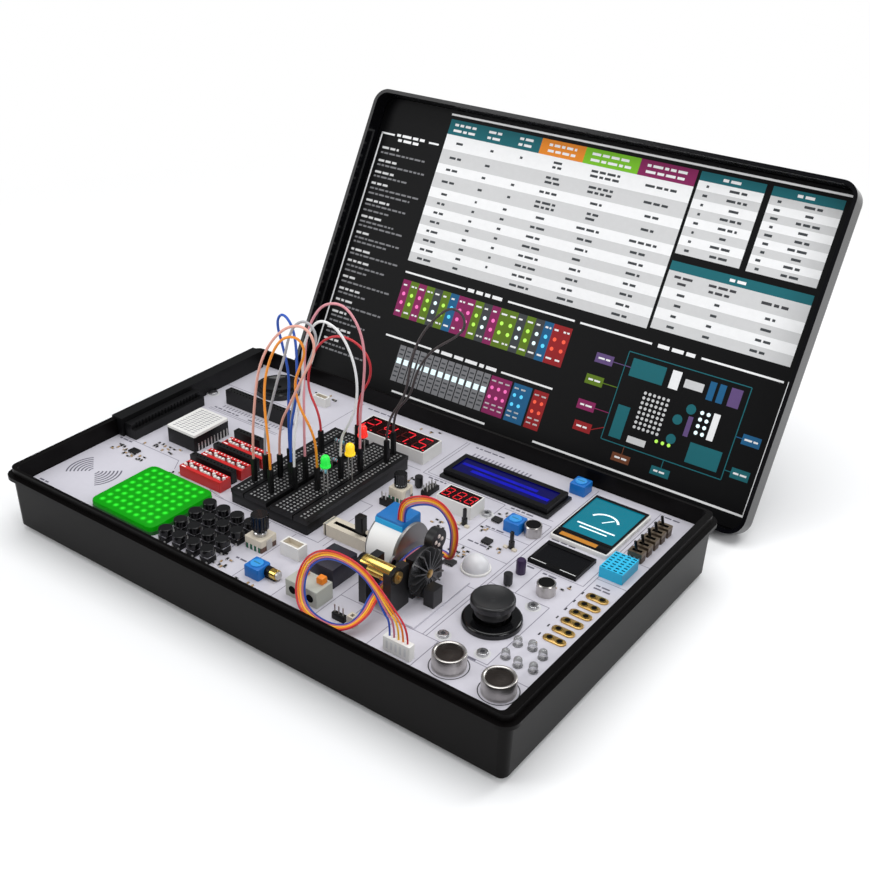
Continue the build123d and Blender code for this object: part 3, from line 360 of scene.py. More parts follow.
def stroke(points, width):
    """One flat quad per segment of a line, half the width to each side of it."""
    points = np.asarray(points, float)
    step = np.diff(points, axis=0)
    side = np.stack([step[:, 1], -step[:, 0]], -1) / np.linalg.norm(step, axis=1)[:, None] * width / 2
    return np.stack([points[:-1] + side, points[1:] + side, points[1:] - side, points[:-1] - side], 1)


def discs(centres, radius, sides=14):
    """Flat regular polygons: the points of one circle set about each centre."""
    angle = np.arange(sides) * 2 * math.pi / sides
    ring = radius * np.stack([np.cos(angle), np.sin(angle)], -1)
    return np.asarray(centres, float).reshape(-1, 1, 2) + ring


def words(left, middle, length, high, seed=0):
    """Bars like one line of words: random lengths with equal gaps, until the line is full."""
    dice = np.random.default_rng(int(abs(seed) * 97 + abs(left) * 13 + abs(middle) * 7))
    sizes = dice.uniform(1.5, 4.2, 40) * high
    ends = np.cumsum(sizes + high * 0.8)
    starts = ends - sizes - high * 0.8
    keep = starts < length - high
    starts, ends = starts[keep], np.minimum(ends[keep] - high * 0.8, length)
    low = np.full(len(starts), middle - high / 2)
    return np.c_[left + starts, low, left + ends, low + high]


def printed(name, node, place, layers):
    """One flat mesh of ink: each layer is (polygons or bars, material), and place puts it in space."""
    points, faces, kinds = [], [], []
    for shapes, material in layers:
        shapes = np.asarray(shapes, float)
        shapes = bars(shapes) if shapes.ndim == 2 else shapes
        count, sides = shapes.shape[:2]
        start = sum(map(len, points))
        points.append(place(shapes.reshape(-1, 2)))
        faces += (start + np.arange(count * sides).reshape(count, sides)).tolist()
        kinds += [material] * count
    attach(mesh_of(name, np.concatenate(points), faces, kinds), frame["nodes"][node]["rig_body"])


def ink(name, colour, glow=0.0):
    """Matt ink, a little uneven."""
    return finish(name, colour, 0.55, tint=0.04, grain=0.0, scale=300, specular=0.2, glow=glow)


white_ink = ink("white_ink", (0.88, 0.88, 0.88))
grey_ink = ink("grey_ink", (0.62, 0.62, 0.62))
dark_ink = ink("dark_ink", (0.05, 0.05, 0.055))
dim_ink = ink("dim_ink", (0.20, 0.20, 0.21))
teal_ink = ink("teal_ink", (0.008, 0.13, 0.155))
orange_ink = ink("orange_ink", (0.80, 0.25, 0.02))
green_ink = ink("green_ink", (0.19, 0.52, 0.02))
magenta_ink = ink("magenta_ink", (0.24, 0.015, 0.10))
lime_ink = ink("lime_ink", (0.11, 0.19, 0.01))
blue_ink = ink("blue_ink", (0.01, 0.11, 0.25))
red_ink = ink("red_ink", (0.30, 0.012, 0.015))
slate_ink = ink("slate_ink", (0.05, 0.055, 0.06))
violet_ink = ink("violet_ink", (0.12, 0.07, 0.20))
brown_ink = ink("brown_ink", (0.16, 0.05, 0.02))
# The glow inks emit light. On the lid's printed chart that is painted light, bright though the sheet holds no
# lamp; on the colour screen it is the screen's own light.
glow_white = ink("glow_white", (0.75, 0.92, 0.95), glow=0.35)
glow_lime = ink("glow_lime", (0.45, 0.85, 0.10), glow=0.3)
glow_pink = ink("glow_pink", (0.85, 0.15, 0.45), glow=0.3)
glow_blue = ink("glow_blue", (0.10, 0.60, 0.90), glow=0.3)
glow_red = ink("glow_red", (0.85, 0.10, 0.05), glow=0.3)

rules = [
    (-110, 197.4, 161.6, 198.7), (160.4, 12, 161.7, 91), (-90, 10.7, -15, 12), (21, 10.7, 161, 12),
    (-161.2, 10, -160, 177), (-161.2, 176, -150, 177.2), (-121, 176, -113, 177.2),
    (-108, 89.4, -59, 90.6), (-26, 89.4, 23, 90.6), (27, 89.4, 76, 90.6), (108, 89.4, 158, 90.6),
    (-108, 45.4, -70, 46.6), (-15, 45.4, 23, 46.6),
]
row_edges = [185, 174.9, 165.2, 158.8, 149, 142.4, 136, 129.6, 123.2, 116.8, 110.4, 104, 97.7]
tables = (
    (-109, 69.5, row_edges, 0, ((-97, 11), (-71.5, 4), (-49, 3), (-22, 15), (12, 20), (50, 21))),
    (71.5, 112, np.linspace(189.5, 145, 9), 0, ((78, 3), (98, 15))),
    (116, 158, np.linspace(189.4, 144.7, 10), 1, ((122, 5), (142, 14))),
    (71.5, 158.5, np.linspace(124.8, 99, 5), 0, ((83.5, 10), (106.5, 5), (139, 15))),
)
white_rows, grey_rows, cell_words, heading_words = [], [], [], []
for left, right, edges, first_white, columns in tables:
    rows = [(left, low, right, high) for high, low in zip(edges, edges[1:])]
    white_rows += rows[first_white::2]
    grey_rows += rows[1 - first_white::2]
    for _, low, _, high in rows:
        for column, (centre, length) in enumerate(columns):
            spread = length * (0.7 + 0.3 * math.sin(high * 3 + centre))
            two_lines = high - low > 9 and column in (3, 4)
            cell_words += [words(centre - spread / 2, (low + high) / 2 + shift, spread, 1.5, high)
                           for shift in ((1.5, -1.5) if two_lines else (0.0,))]
grey_rows.append((71.5, 124.8, 158.5, 134.8))
for left, right in ((-109, -84), (-82, -62), (-58, -40), (-36, -8), (-5, 31), (33, 69)):
    heading_words += [words(left + 4, line, right - left - 8, 1.6, right) for line in (191.8, 188)]
heading_words += [words(86, 192.2, 11, 1.7), words(131, 192.2, 10, 1.7), words(109, 137.6, 10, 1.7),
                  words(-57, 90, 29, 2.2), words(-68, 46, 51, 2.2), words(80, 90, 24, 2.2),
                  words(-148, 177, 24, 1.8), words(-146, 173.8, 20, 1.8)]
column_heads = [words(76, 131.6, 14, 1.5), words(79, 128, 8, 1.5), words(98, 131.6, 17, 1.5),
                words(99, 128, 15, 1.5), words(131, 129.8, 16, 1.7)]
note_heads, note_lines = [], []
for group in ((167, 163.5), (158, 155), (150, 147), (142, 138.5, 135), (130, 127, 123),
              (118.5, 115, 112), (107, 103.5, 100.5), (95, 92), (87, 83.5, 80), (75.5, 72), (67, 64),
              (59, 55.5), (50.5, 47.5, 44), (39, 36), (31, 27.5, 24)):
    note_heads.append(words(-157, group[0], 12 + 9 * math.sin(group[0]) ** 2, 1.5, group[0]))
    for line in group[1:]:
        note_lines.append(words(-157, line, 30 + 12 * math.sin(line * 5), 1.2, line))
layers = [
    (rules, white_ink),
    (white_rows, white_ink),
    (grey_rows, grey_ink),
    ([(-109, 185, -38, 195), (71.5, 189.5, 112, 195), (116, 189.4, 158, 195),
      (71.5, 134.8, 158.5, 140.5)], teal_ink),
    ([(-38, 185, -6, 195)], orange_ink),
    ([(-6, 185, 32, 195)], green_ink),
    ([(32, 185, 69.5, 195)], magenta_ink),
]
over = [
    (np.concatenate(cell_words), slate_ink),
    (np.concatenate(column_heads), dark_ink),
    (np.concatenate(heading_words), white_ink),
    (np.concatenate(note_heads), grey_ink),
    (np.concatenate(note_lines), dim_ink),
]
# Two rows of pin strips stand under the tables, the lower one ending in three wider blocks.
# The strips' bright dots and bands are painted light in glow ink.
strip_inks = {"lime": (lime_ink, glow_lime), "pink": (magenta_ink, glow_pink),
              "blue": (blue_ink, glow_blue), "slate": (slate_ink, glow_white), "red": (red_ink, glow_red)}
strip = ("pink lime pink lime slate lime blue pink pink lime slate pink lime lime slate lime slate "
         "blue red red").split()
for index, name in enumerate(strip):
    left = -107.4 + 6.55 * index
    layers.append(([(left, 60, left + 6.55, 85)], strip_inks[name][0]))
    over += [(discs([(left + 3.3, 75.6), (left + 3.3, 69.6)], 1.3), strip_inks[name][1]),
             (np.concatenate([words(left + 1.2, 81.5, 4.2, 1.1, index),
                              words(left + 1.2, 63.5, 4.2, 1.1, -index)]), white_ink)]
for index in range(13):
    left = -94 + 5.65 * index
    layers.append(([(left, 18, left + 4.9, 42.5)], dim_ink))
    over += [([(left + 0.6, 30.2, left + 4.3, 33.8)], glow_white),
             ([(left + 0.9, t, left + 4.0, t + 1.0) for t in (21, 24, 27, 36, 39)], slate_ink)]
for left, right, name in ((-20.5, -5, "pink"), (-3.5, 10, "blue"), (11.5, 22, "red")):
    layers.append(([(left, 18, right, 42.5)], strip_inks[name][0]))
    dots_at = [(x, t) for x in np.arange(left + 2.6, right - 1.5, 5.0) for t in (35, 29)]
    over += [(discs(dots_at, 1.2), strip_inks[name][1]),
             ([(x - 1.6, t, x + 1.6, t + 1.0) for x, _ in dots_at for t in (21, 24, 39)], white_ink)]
# A block diagram of modules round a long board fills the lower right.
# The diagram's bright dots are painted light in glow ink.
over += [
    (stroke([(64, 27), (142, 27), (142, 82), (64, 82), (64, 27)], 0.6), teal_ink),
    ([(68, 68, 90, 79), (118, 30, 138, 42), (68, 30, 76, 50)], teal_ink),
    ([(94, 68, 100, 79), (126, 46, 130, 62)], white_ink),
    ([(103, 71, 115, 76), (80, 30, 92, 34)], grey_ink),
    (discs([(x, t) for x in np.arange(82, 99, 3.0) for t in np.arange(40, 62, 3.0)], 1.0, 8), grey_ink),
    (discs([(106, 40), (106, 52), (112, 60)], 3.0, 20), teal_ink),
    (discs([(x, t) for x in (119, 123) for t in np.arange(48, 64, 4.0)], 1.2, 10), glow_white),
    (discs([(x, 36) for x in (98, 102, 106)], 1.1, 10), glow_lime),
    ([(118, 68, 122, 79), (124, 68, 128, 79)], blue_ink),
    ([(131, 68, 138, 79), (112, 44, 115, 56)], violet_ink),
]
modules = [
    (violet_ink, (44, 70, 56, 76), [(56, 73), (68, 73)]), (lime_ink, (42, 56, 54, 62), [(54, 59), (64, 59)]),
    (magenta_ink, (42, 40, 54, 46), [(54, 43), (64, 43)]), (red_ink, (44, 27, 56, 33), [(56, 30), (64, 34)]),
    (brown_ink, (74, 17, 86, 22), [(80, 22), (80, 27)]),
    (teal_ink, (100, 17, 112, 22), [(106, 22), (106, 27)]),
    (blue_ink, (146, 50, 157, 56), [(146, 53), (142, 53)]),
    (teal_ink, (146, 30, 157, 36), [(146, 33), (142, 33)]),
]
over += [([box], material) for material, box, _ in modules]
over += [(stroke(lead, 0.5), material) for material, _, lead in modules]
tags = [words(x, t, 8, 1.1, x) for x, t in (
    (46, 73), (44, 59), (44, 43), (46, 30), (76, 19.5), (102, 19.5), (147.5, 53), (147.5, 33))]


def raised(lift):
    """Chart points lifted a little off the sheet, so that a later ink lies over an earlier one."""
    away = np.array([0.0, math.sin(lid_turn), -math.cos(lid_turn)]) * lift
    return lambda flat: opened(flat) + away


printed("chart_fields", "lid_panel", raised(0.0), layers)
printed("chart_marks", "lid_panel", raised(0.05), over)
printed("chart_tags", "lid_panel", raised(0.1), [(np.concatenate(tags), white_ink)])


# The circuit board is glass fibre under a pale lilac-white solder mask. Its modules are framed by
# fine grey lines with short labels, and tiny chips, resistors and capacitors are soldered between.
board_top = 26.7
pitch = 2.54
mask_white = (0.58, 0.565, 0.62)
can_places = ((117.8, -76.9), (144.6, -77.3))
pad_rows = -32.6 + 7.94 * np.arange(6)
painted(finish("board_white", mask_white, 0.4, tint=0.035, grain=0.03, scale=420), "circuit_board")
painted(bright_steel, "board_screws")
line_ink = ink("line_ink", (0.23, 0.22, 0.27))
label_ink = ink("label_ink", (0.13, 0.125, 0.16))
# The darkest ink prints marks, and on the screw heads it paints the shade of their sockets.
mark_and_shade_ink = ink("mark_and_shade_ink", (0.035, 0.035, 0.04))


def on_board(lift):
    """Flat board points raised to the board's top plus a little."""
    return lambda flat: np.c_[flat, np.full(len(flat), board_top + lift)]


frames = [
    (-158, -25, -109, -25, -104, -33), (-73.5, 10, -73.5, -36), (-72, 10, -72, -37, -60, -38.6),
    (-66, -39, 8, -39), (-24, -40, -24, -92), (-6, -40, -6, -92), (-142, 31.5, -86, 31.5),
    (-142, 33, -86, 33), (-158, 62, -100, 62), (-70, 95, -70, 52, 6, 52), (8.5, 95, 8.5, 51, 64, 51),
    (10.5, 95, 10.5, 53, 93, 53), (64, 51, 64, 8), (65.5, 48, 95, 48, 95, -66), (64, 26, 95, 26),
    (64, 5, 95, 5), (40, 5, 64, 5), (74, -22.5, 95, -22.5), (97, 95, 97, -66, 46, -66),
    (97, 12, 135, 12, 135, 95), (111.5, 12, 111.5, -13), (97, -13, 131, -13, 131, -66, 97, -66),
    (137, -10, 137, 95), (137, 22, 156, 22), (137, 46, 156, 46), (104, -66, 104, -92),
    (104, -67.5, 157, -67.5), (20, -40, 20, -58), (20, -70, 20, -92), (46, -44, 46, -92),
    (61, -68, 61, -92), (8, -39, 8, 6, -0.5, 6), (12, -40, 12, -14, 44, -14), (79, -68, 79, -92),
]
labels = [(16, 93, 20), (14, 49, 12), (68, 50.5, 14), (67, 27.5, 12), (67, 11, 12), (76, -33, 12),
          (99, 10, 9), (101, 38.5, 16), (138, 93.5, 10), (139, 43.5, 9), (139.5, 17, 9), (139.5, 14.5, 9),
          (113.5, 9.5, 8), (102, -15.5, 9), (137, -90, 10), (-22, -89, 12), (-16, -74, 7), (22, -42, 9),
          (48, -88, 8), (66, -88.5, 9), (-140, 35, 22), (-112, 35, 18), (-156, -27, 10), (-155, -86, 9),
          (13, 16, 6), (-3, -88.5, 7), (12, -88.5, 9), (22, -88.5, 16), (118, -66.6, 8), (-64, 92, 20)]


def arc(centre, radius, sweep):
    """The points of a circle about a centre at the angles of a sweep."""
    return np.stack([np.cos(sweep), np.sin(sweep)], -1) * radius + centre


around_cans = [stroke(arc(at, 9.3, np.linspace(0, 2 * math.pi, 41)), 0.5) for at in can_places]
waves = [stroke(arc((-137.6 + side, -62.5), radius, turn + np.linspace(-0.72, 0.72, 9)), 0.9)
         for turn, side in ((0, 0.6), (math.pi, -0.6))
         for radius in (2.4, 4.5, 6.6, 8.7, 10.8, 12.9, 15.0)]
ticks = [(19.5 + pitch * n, 83.4, 20.5 + pitch * n, 87.0) for n in range(16)]
ticks += [(-136 + pitch * n, 37.4, -135.1 + pitch * n, 40.2) for n in range(20)]
numbers = [(137.2, y - 1.0, 138.0, y + 1.2) for y in pad_rows]
screws_at = [(-153, 46.9), (61.4, 36.7), (124.4, -17.1), (103.1, -60.9), (124.9, -60.7)]
printed("board_print", "circuit_board", on_board(0.03), [
    (np.concatenate([stroke(np.reshape(line, (-1, 2)), 0.42) for line in frames]), line_ink),
    (np.concatenate(waves), label_ink),
    (np.concatenate(around_cans), mark_and_shade_ink),
    (ticks, line_ink),
])
printed("board_labels", "circuit_board", on_board(0.05), [
    (np.concatenate([words(x, y, length, 1.15, y) for x, y, length in labels]), label_ink),
    (numbers, mark_and_shade_ink),
    (discs(screws_at, 4.0, 24), grey_ink),
])
# Dark hexagons on the screw heads: painted shade for their sockets.
printed("screw_sockets", "board_screws", on_board(1.52), [(discs(screws_at, 1.25, 6), mark_and_shade_ink)])


def skin(rings):
    """Quads between closed rings of one length (rings by points by 3), with a flat face at each end."""
    rings = np.asarray(rings, float)
    count, around = rings.shape[:2]
    ring, spot = np.meshgrid(np.arange(count - 1), np.arange(around), indexing="ij")
    here = ring * around + spot
    beside = ring * around + (spot + 1) % around
    faces = np.stack([here, beside, beside + around, here + around], -1).reshape(-1, 4).tolist()
    last = (count - 1) * around + np.arange(around)
    return rings.reshape(-1, 3), faces + [np.arange(around)[::-1].tolist(), last.tolist()]


def outline(size, corner, steps=3):
    """A rounded rectangle, counter-clockwise: four quarter circles set out from the inner corners."""
    half = np.array(size, float) / 2 - corner
    turn = (np.arange(steps + 1) / steps + np.arange(4)[:, None]) * math.pi / 2
    away = np.array([[1, 1], [-1, 1], [-1, -1], [1, -1]])[:, None] * half
    return (away + corner * np.stack([np.cos(turn), np.sin(turn)], -1)).reshape(-1, 2)


def block(at, size, low, high, material, corner=0.1, edge=0.1):
    """An upright block over the board: its outline carried up a profile that turns in at the top edge."""
    turn = np.linspace(0, math.pi / 2, 3)
    inset = np.r_[0.0, edge * (1 - np.cos(turn))]
    height = board_top + np.r_[low, high - edge + edge * np.sin(turn)]
    flat = [outline(np.array(size) - 2 * away, max(corner - away, 0.02)) + at for away in inset]
    return (*skin([np.c_[ring, np.full(len(ring), up)] for ring, up in zip(flat, height)]), material)


def turned(profile, at, material, axis="z", around=32):
    """A profile of (radius, height) pairs spun about an axis through a point, or a place on the board."""
    angle = np.linspace(0, 2 * math.pi, around, endpoint=False)
    profile = np.array(profile, float)
    radius, height = profile[:, :1], np.repeat(profile[:, 1:], around, 1)
    rings = np.stack([radius * np.cos(angle), radius * np.sin(angle), height], -1)
    rings = rings[..., {"z": [0, 1, 2], "x": [2, 0, 1], "y": [1, 2, 0]}[axis]]
    return (*skin(rings + np.array(at if len(at) == 3 else (*at, board_top))), material)


def pitted(columns, rows, hole, top, deep, base, skin_material, pit_material):
    """A slab over the board with a field of square pits: one in each cell between the lines."""
    columns, rows = np.asarray(columns, float), np.asarray(rows, float)
    top, base = top + board_top, base + board_top
    across, along = len(columns) - 1, len(rows) - 1
    x, y = np.meshgrid(columns, rows, indexing="ij")
    corners = np.stack([x, y, np.full_like(x, top)], -1).reshape(-1, 3)
    middles = [np.diff(edges) / 2 + edges[:-1] for edges in (columns, rows)]
    for middle, edges in zip(middles, (columns, rows)):
        if len(middle) == 2:
            middle[:] = edges[1] - pitch / 2, edges[1] + pitch / 2
        if len(middle) > 3:
            middle[[0, -1]] = 2 * middle[1] - middle[2], 2 * middle[-2] - middle[-3]
    centre = np.stack(np.meshgrid(*middles, indexing="ij"), -1)[:, :, None]
    ring = centre + np.array([[-1, -1], [1, -1], [1, 1], [-1, 1]]) * np.broadcast_to(hole, 2) / 2
    upper = np.concatenate([ring, np.full((*ring.shape[:3], 1), top)], -1).reshape(-1, 3)
    i, j = np.meshgrid(np.arange(across), np.arange(along), indexing="ij")
    step = along + 1
    cell = i * step + j
    cell = np.stack([cell, cell + step, cell + step + 1, cell + 1], -1).reshape(-1, 4)
    first = len(corners) + np.arange(len(upper)).reshape(-1, 4)
    second = first + len(upper)
    flat = np.stack([cell, np.roll(cell, -1, 1), np.roll(first, -1, 1), first], -1)
    steep = np.stack([first, np.roll(first, -1, 1), np.roll(second, -1, 1), second], -1)
    loop = np.r_[np.arange(across) * step, across * step + np.arange(along),
                 (across - np.arange(across)) * step + along, along - np.arange(along)]
    skirt = corners[loop] * [1, 1, 0] + [0, 0, base]
    low = len(corners) + 2 * len(upper) + np.arange(len(loop))
    walls = np.stack([low, np.roll(low, -1), np.roll(loop, -1), loop], -1)
    quads = np.concatenate([flat.reshape(-1, 4), walls]).tolist() + [low[::-1].tolist()]
    pits = np.concatenate([steep.reshape(-1, 4), second]).tolist()
    points = np.concatenate([corners, upper, upper - [0, 0, deep], skirt])
    return points, quads + pits, [skin_material] * len(quads) + [pit_material] * len(pits)


def sunk(at, size, *rest):
    """A slab over the board with one square pit in its middle: what follows its size is as for pitted."""
    return pitted(*[(middle - length / 2, middle + length / 2) for middle, length in zip(at, size)], *rest)


def piece(name, node, parts, stands_in=True):
    """One mesh from parts (points in mm, faces, a material or one for each face), smooth up to 38 degrees."""
    starts = np.cumsum([0] + [len(part[0]) for part in parts])
    faces, kinds = [], []
    for start, (_, own, material) in zip(starts, parts):
        faces += [[start + corner for corner in face] for face in own]
        kinds += material if isinstance(material, list) else [material] * len(own)
    made = mesh_of(name, np.concatenate([part[0] for part in parts]), faces, kinds)
    made.data.shade_smooth()
    made.data.set_sharp_from_angle(angle=math.radians(38))
    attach(made, frame["nodes"][node]["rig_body"])
    if stands_in:
        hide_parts(node)


chip_black = finish("chip_black", (0.007, 0.007, 0.008), 0.4, tint=0.3, scale=1600)
tinned = finish("tinned", (0.62, 0.61, 0.58), 0.35, metallic=0.9, tint=0.12, scale=1200)
ceramic_tan = finish("ceramic_tan", (0.42, 0.27, 0.13), 0.5, tint=0.15, scale=1400)
clusters = [(-138, -36, 13, 4, 22), (-150, -14, 5, 5, 8), (-128, -20, 12, 4, 14), (-16, -80, 6, 6, 9),
            (-94, 84, 10, 6, 14), (50, 14, 9, 3.5, 12), (48, 40, 6, 3, 6), (70, 0, 5, 3, 9),
            (76, -4, 7, 3, 6), (79, -54, 4, 4, 7), (70, 42, 5, 2, 5), (106, -9, 4, 3, 3),
            (128, 3, 3, 5, 4), (70, 24, 4, 2, 4),
            (85, 12, 5, 2, 5), (-12, 92, 12, 2, 4), (9, 40, 5, 5, 6), (-100, -36, 3, 2, 3), (4, -88, 8, 2, 4)]
dice = np.random.default_rng(11)
tiny = []
for x, y, wide, deep, count in clusters:
    spots = dice.uniform(-1, 1, (count, 2)) * [wide, deep] + [x, y]
    turns = dice.integers(0, 2, count)
    for index, (spot, turn) in enumerate(zip(spots, turns)):
        body = ceramic_tan if index % 3 == 0 else chip_black
        length, shift, end = [(pair[::-1] if turn else pair) for pair in ((0.8, 1.6), (0, 0.95), (0.85, 0.4))]
        tiny += [block(spot, length, 0, 0.6, body, 0.05, 0.05),
                 block(spot + shift, end, 0, 0.62, tinned, 0.05, 0.05),
                 block(spot - shift, end, 0, 0.62, tinned, 0.05, 0.05)]
piece("surface_parts", "circuit_board", tiny, stands_in=False)


# The external connector is a long black edge socket with a row of ribs along its lower step. The
# channel selector is a black block under a white plate with six columns of slanted slots.
plain_black = finish("plain_black", (0.006, 0.006, 0.0065), 0.34, tint=0.25, grain=0.1, scale=2000,
                     specular=0.25)
plain_white = finish("plain_white", (0.74, 0.73, 0.70), 0.45, tint=0.03)
painted(plain_black, "external_connector")
x, y = selector = (-119.3, 1.1)
piece("channel_selector_shown", "channel_selector", [
    block(selector, (22.6, 27.7), 0, 9.5, plain_black, 0.8, 0.1),
    block(selector, (22.6, 27.7), 9.45, 11, plain_white, 0.8, 0.3),
    *[block((x + side, y + along), (0.5, 0.8), 0, 5, tinned, 0.05, 0.05)
      for side in (-11.35, 11.35) for along in np.arange(-11, 12, pitch)],
])
slots = [stroke([(x + side - 1, y + along - 0.35), (x + side + 1, y + along + 0.35)], 0.6)
         for side in np.arange(-7.5, 8, 3.0) for along in np.arange(-11.2, 12, 2.04)]
printed("selector_slots", "channel_selector", on_board(11.03), [(np.concatenate(slots), label_ink)])


# The long forty-pin socket and three short strips are moulded black bars soldered to the board,
# pierced by rows of square holes.
# A near-black matt finish: painted shade for the inside of holes and pits, and for the shadow under the
# joystick.
pit_shade = finish("pit_shade", (0.002, 0.002, 0.002), 0.8, tint=0.2, grain=0.0, specular=0.1)
piece("socket_strips_shown", "socket_strips", [
    pitted(x + np.linspace(-length / 2, length / 2, int(length / pitch) + 1),
           y + np.linspace(-wide / 2, wide / 2, rows + 1), 0.9, high, 1.2, 0, plain_black, pit_shade)
    for x, y, length, wide, high, rows in (
        (-111.6, 44.7, 51.2, 5.0, 9.5, 2), (-82.7, -23.3, 32.2, 4.0, 8.0, 1),
        (-80.9, -6.8, 32.2, 4.0, 8.0, 1), (-88.7, 12.0, 20.4, 4.0, 8.0, 1))
])


# Three banks of slide switches: bright red cases with twelve white sliders each in a sunk slot,
# set to different sides, and a printed white tick over each.
switch_red = finish("switch_red", (0.56, 0.012, 0.012), 0.33, tint=0.08, scale=500)
# The slots are a darker red than the cases: painted shade in the sunk slots.
slot_red_shade = finish("slot_red_shade", (0.20, 0.008, 0.008), 0.5, tint=0.1)
banks, bank_ticks = [], []
for bank, y in enumerate((-31.6, -15.1, 1.4)):
    banks.append(sunk((-80.8, y), (31.3, 8.4), (30.48, 3.6), 6.5, 1.2, 0, switch_red, slot_red_shade))
    for index in range(12):
        x = -80.8 + (index - 5.5) * pitch
        side = 0.95 if (index * 5 + bank * 3) % 7 > 4 else -0.95
        banks.append(block((x, y + side), (1.5, 1.5), 5.2, 7.2, plain_white, 0.15, 0.15))
        bank_ticks.append((x - 0.35, y + 2.7, x + 0.35, y + 3.6))
    bank_ticks.append((-95.5, y - 3.6, -92.5, y - 2.8))
piece("dip_switches_shown", "dip_switches", banks)
printed("switch_ticks", "dip_switches", on_board(6.53), [(bank_ticks, white_ink)])


# The LED matrix glows green under a milky diffuser with rounded corners. Eight by eight lamps show
# as paler spots, and the body stands on a dark green board.
lit_green = finish("lit_green", (0.0, 0.22, 0.0), 0.45, tint=0.12, grain=0.0, scale=120, specular=0.15,
                   glow=0.45)
halo_green, spot_green = [
    finish(name, colour, 0.45, tint=0.05, grain=0.0, specular=0.15, glow=glow)
    for name, colour, glow in (("halo_green", (0.004, 0.36, 0.004), 0.5),
                               ("spot_green", (0.02, 0.56, 0.02), 0.55))]
matrix = (-86.5, -65.2)
piece("led_matrix_shown", "led_matrix", [
    block(matrix, (48.6, 46.5), 0, 2.2, finish("edge_green", (0.006, 0.13, 0.012), 0.5), 4.5, 0.2),
    block(matrix, (48.2, 46.1), 2.15, 5, lit_green, 4.3, 0.9),
])
steps = (np.arange(8) - 3.5) * 5.25
spots = [(matrix[0] + x, matrix[1] + y) for x in steps for y in steps]
printed("matrix_halos", "led_matrix", on_board(5.02), [(discs(spots, 1.8, 20), halo_green)])
printed("matrix_spots", "led_matrix", on_board(5.04), [(discs(spots, 1.05, 16), spot_green)])


# Sixteen push buttons: a black base with a steel top plate and four tinned legs under a round
# glossy black cap.
gloss_black = finish("gloss_black", (0.004, 0.004, 0.0045), 0.16, tint=0.3, grain=0.03, scale=900,
                     specular=0.45)
button_parts = []
for x in (-55, -45, -35, -25):
    for y in (-84.8, -74.3, -63.8, -53.3):
        button_parts += [
            block((x, y), (6, 6), 0, 3.3, plain_black, 0.4, 0.1),
            block((x, y), (5.9, 5.9), 3.25, 3.8, bright_steel, 0.4, 0.1),
            *[block((x + leg_x, y + leg_y), (0.8, 0.7), 0, 1.6, tinned)
              for leg_x in (-2.2, 2.2) for leg_y in (-3.3, 3.3)]]
piece("button_bases_shown", "button_bases", button_parts)
painted(gloss_black, *[f"button_cap_{number}" for number in range(1, 17)])


# The rotary encoder and the turning potentiometer have cream bodies with steel tabs and green
# contact bars at the foot. The slide potentiometer is a cream housing with a long dark slot.
cream = finish("cream", (0.60, 0.54, 0.44), 0.5, tint=0.08, scale=600)
bar_green = finish("bar_green", (0.01, 0.16, 0.09), 0.4)
bar_brown = finish("bar_brown", (0.10, 0.05, 0.035), 0.5)
controls = []
for x, y, side, high in ((-13.3, -58.7, 12.0, 7.0), (15.5, 21.0, 10.0, 8.2)):
    controls += [block((x, y), (side - 0.6, side - 0.6), 0, 3.2, bar_brown, 0.6, 0.1),
                 block((x, y), (side - 0.4, side - 0.4), 3.1, high, cream, 0.6, 0.4),
                 turned([(3.5, high - 0.5), (3.5, high + 1.5), (3.1, high + 2)], (x, y), bright_steel)]
    for turn in (-1, 1):
        controls += [block((x + step * 1.4, y + turn * (side / 2 - 0.25)), (0.8, 0.4), 0, 3.1,
                           bar_green if step % 2 else plain_white) for step in range(-3, 4)]
        controls.append(block((x + turn * (side / 2 - 0.2), y), (0.5, 4), 0, high - 1, tinned))
controls.append(sunk((20.4, -27.1), (30, 8.9), (22.0, 2.4), 7, 4.0, 0, cream, chip_black))
controls += [block((x, -27.1), (1.2, 8.9), 0, 7.3, tinned, 0.2, 0.2) for x in (6.6, 34.2)]
piece("control_bodies_shown", "control_bodies", controls)
painted(gloss_black, "encoder_knob", "pot_knob")
painted(plain_black, "slide_lever")


# Five small toggle switches along the right edge: a brown bakelite case held by a folded steel
# frame, with three tinned legs and a thin black lever.
bakelite = finish("bakelite", (0.10, 0.065, 0.045), 0.45, tint=0.2)
old_nickel = finish("old_nickel", (0.22, 0.17, 0.12), 0.35, metallic=0.9, tint=0.2, scale=1200)
toggles = []
for y in (78.0, 70.7, 63.4, 56.1, 48.8):
    # The opening in each steel frame is painted shade inside.
    toggles += [block((144.5, y), (8.0, 4.6), 0, 3.6, bakelite, 0.3, 0.1),
                sunk((144.5, y), (8.0, 5.2), (5.4, 2.0), 5.6, 1.9, 3.2, old_nickel, pit_shade),
                *[block((144.5 + x, y + side * 2.45), (0.9, 0.3), 0, 3.4, tinned, 0.05, 0.05)
                  for x in (-2.5, 0, 2.5) for side in (-1, 1)]]
piece("toggle_bodies_shown", "toggle_bodies", toggles)
painted(gloss_black, *[f"toggle_lever_{number}" for number in range(1, 6)])


# The joystick is glossy black: a wide collar, a dome that follows the stick and a dished thumb pad.
# Its gimbal ring is black too, and a dark disc on the board, a painted shadow, closes the view under it.
painted(gloss_black, "joystick_base")
printed("joystick_shadow", "circuit_board", on_board(0.07), [(discs([(114.9, -38.2)], 12.5, 40), pit_shade)])
painted(plain_black, "joystick_gimbal")
painted(finish("thumb_black", (0.010, 0.010, 0.011), 0.34, tint=0.3, grain=0.2, scale=2600), "joystick_cap")


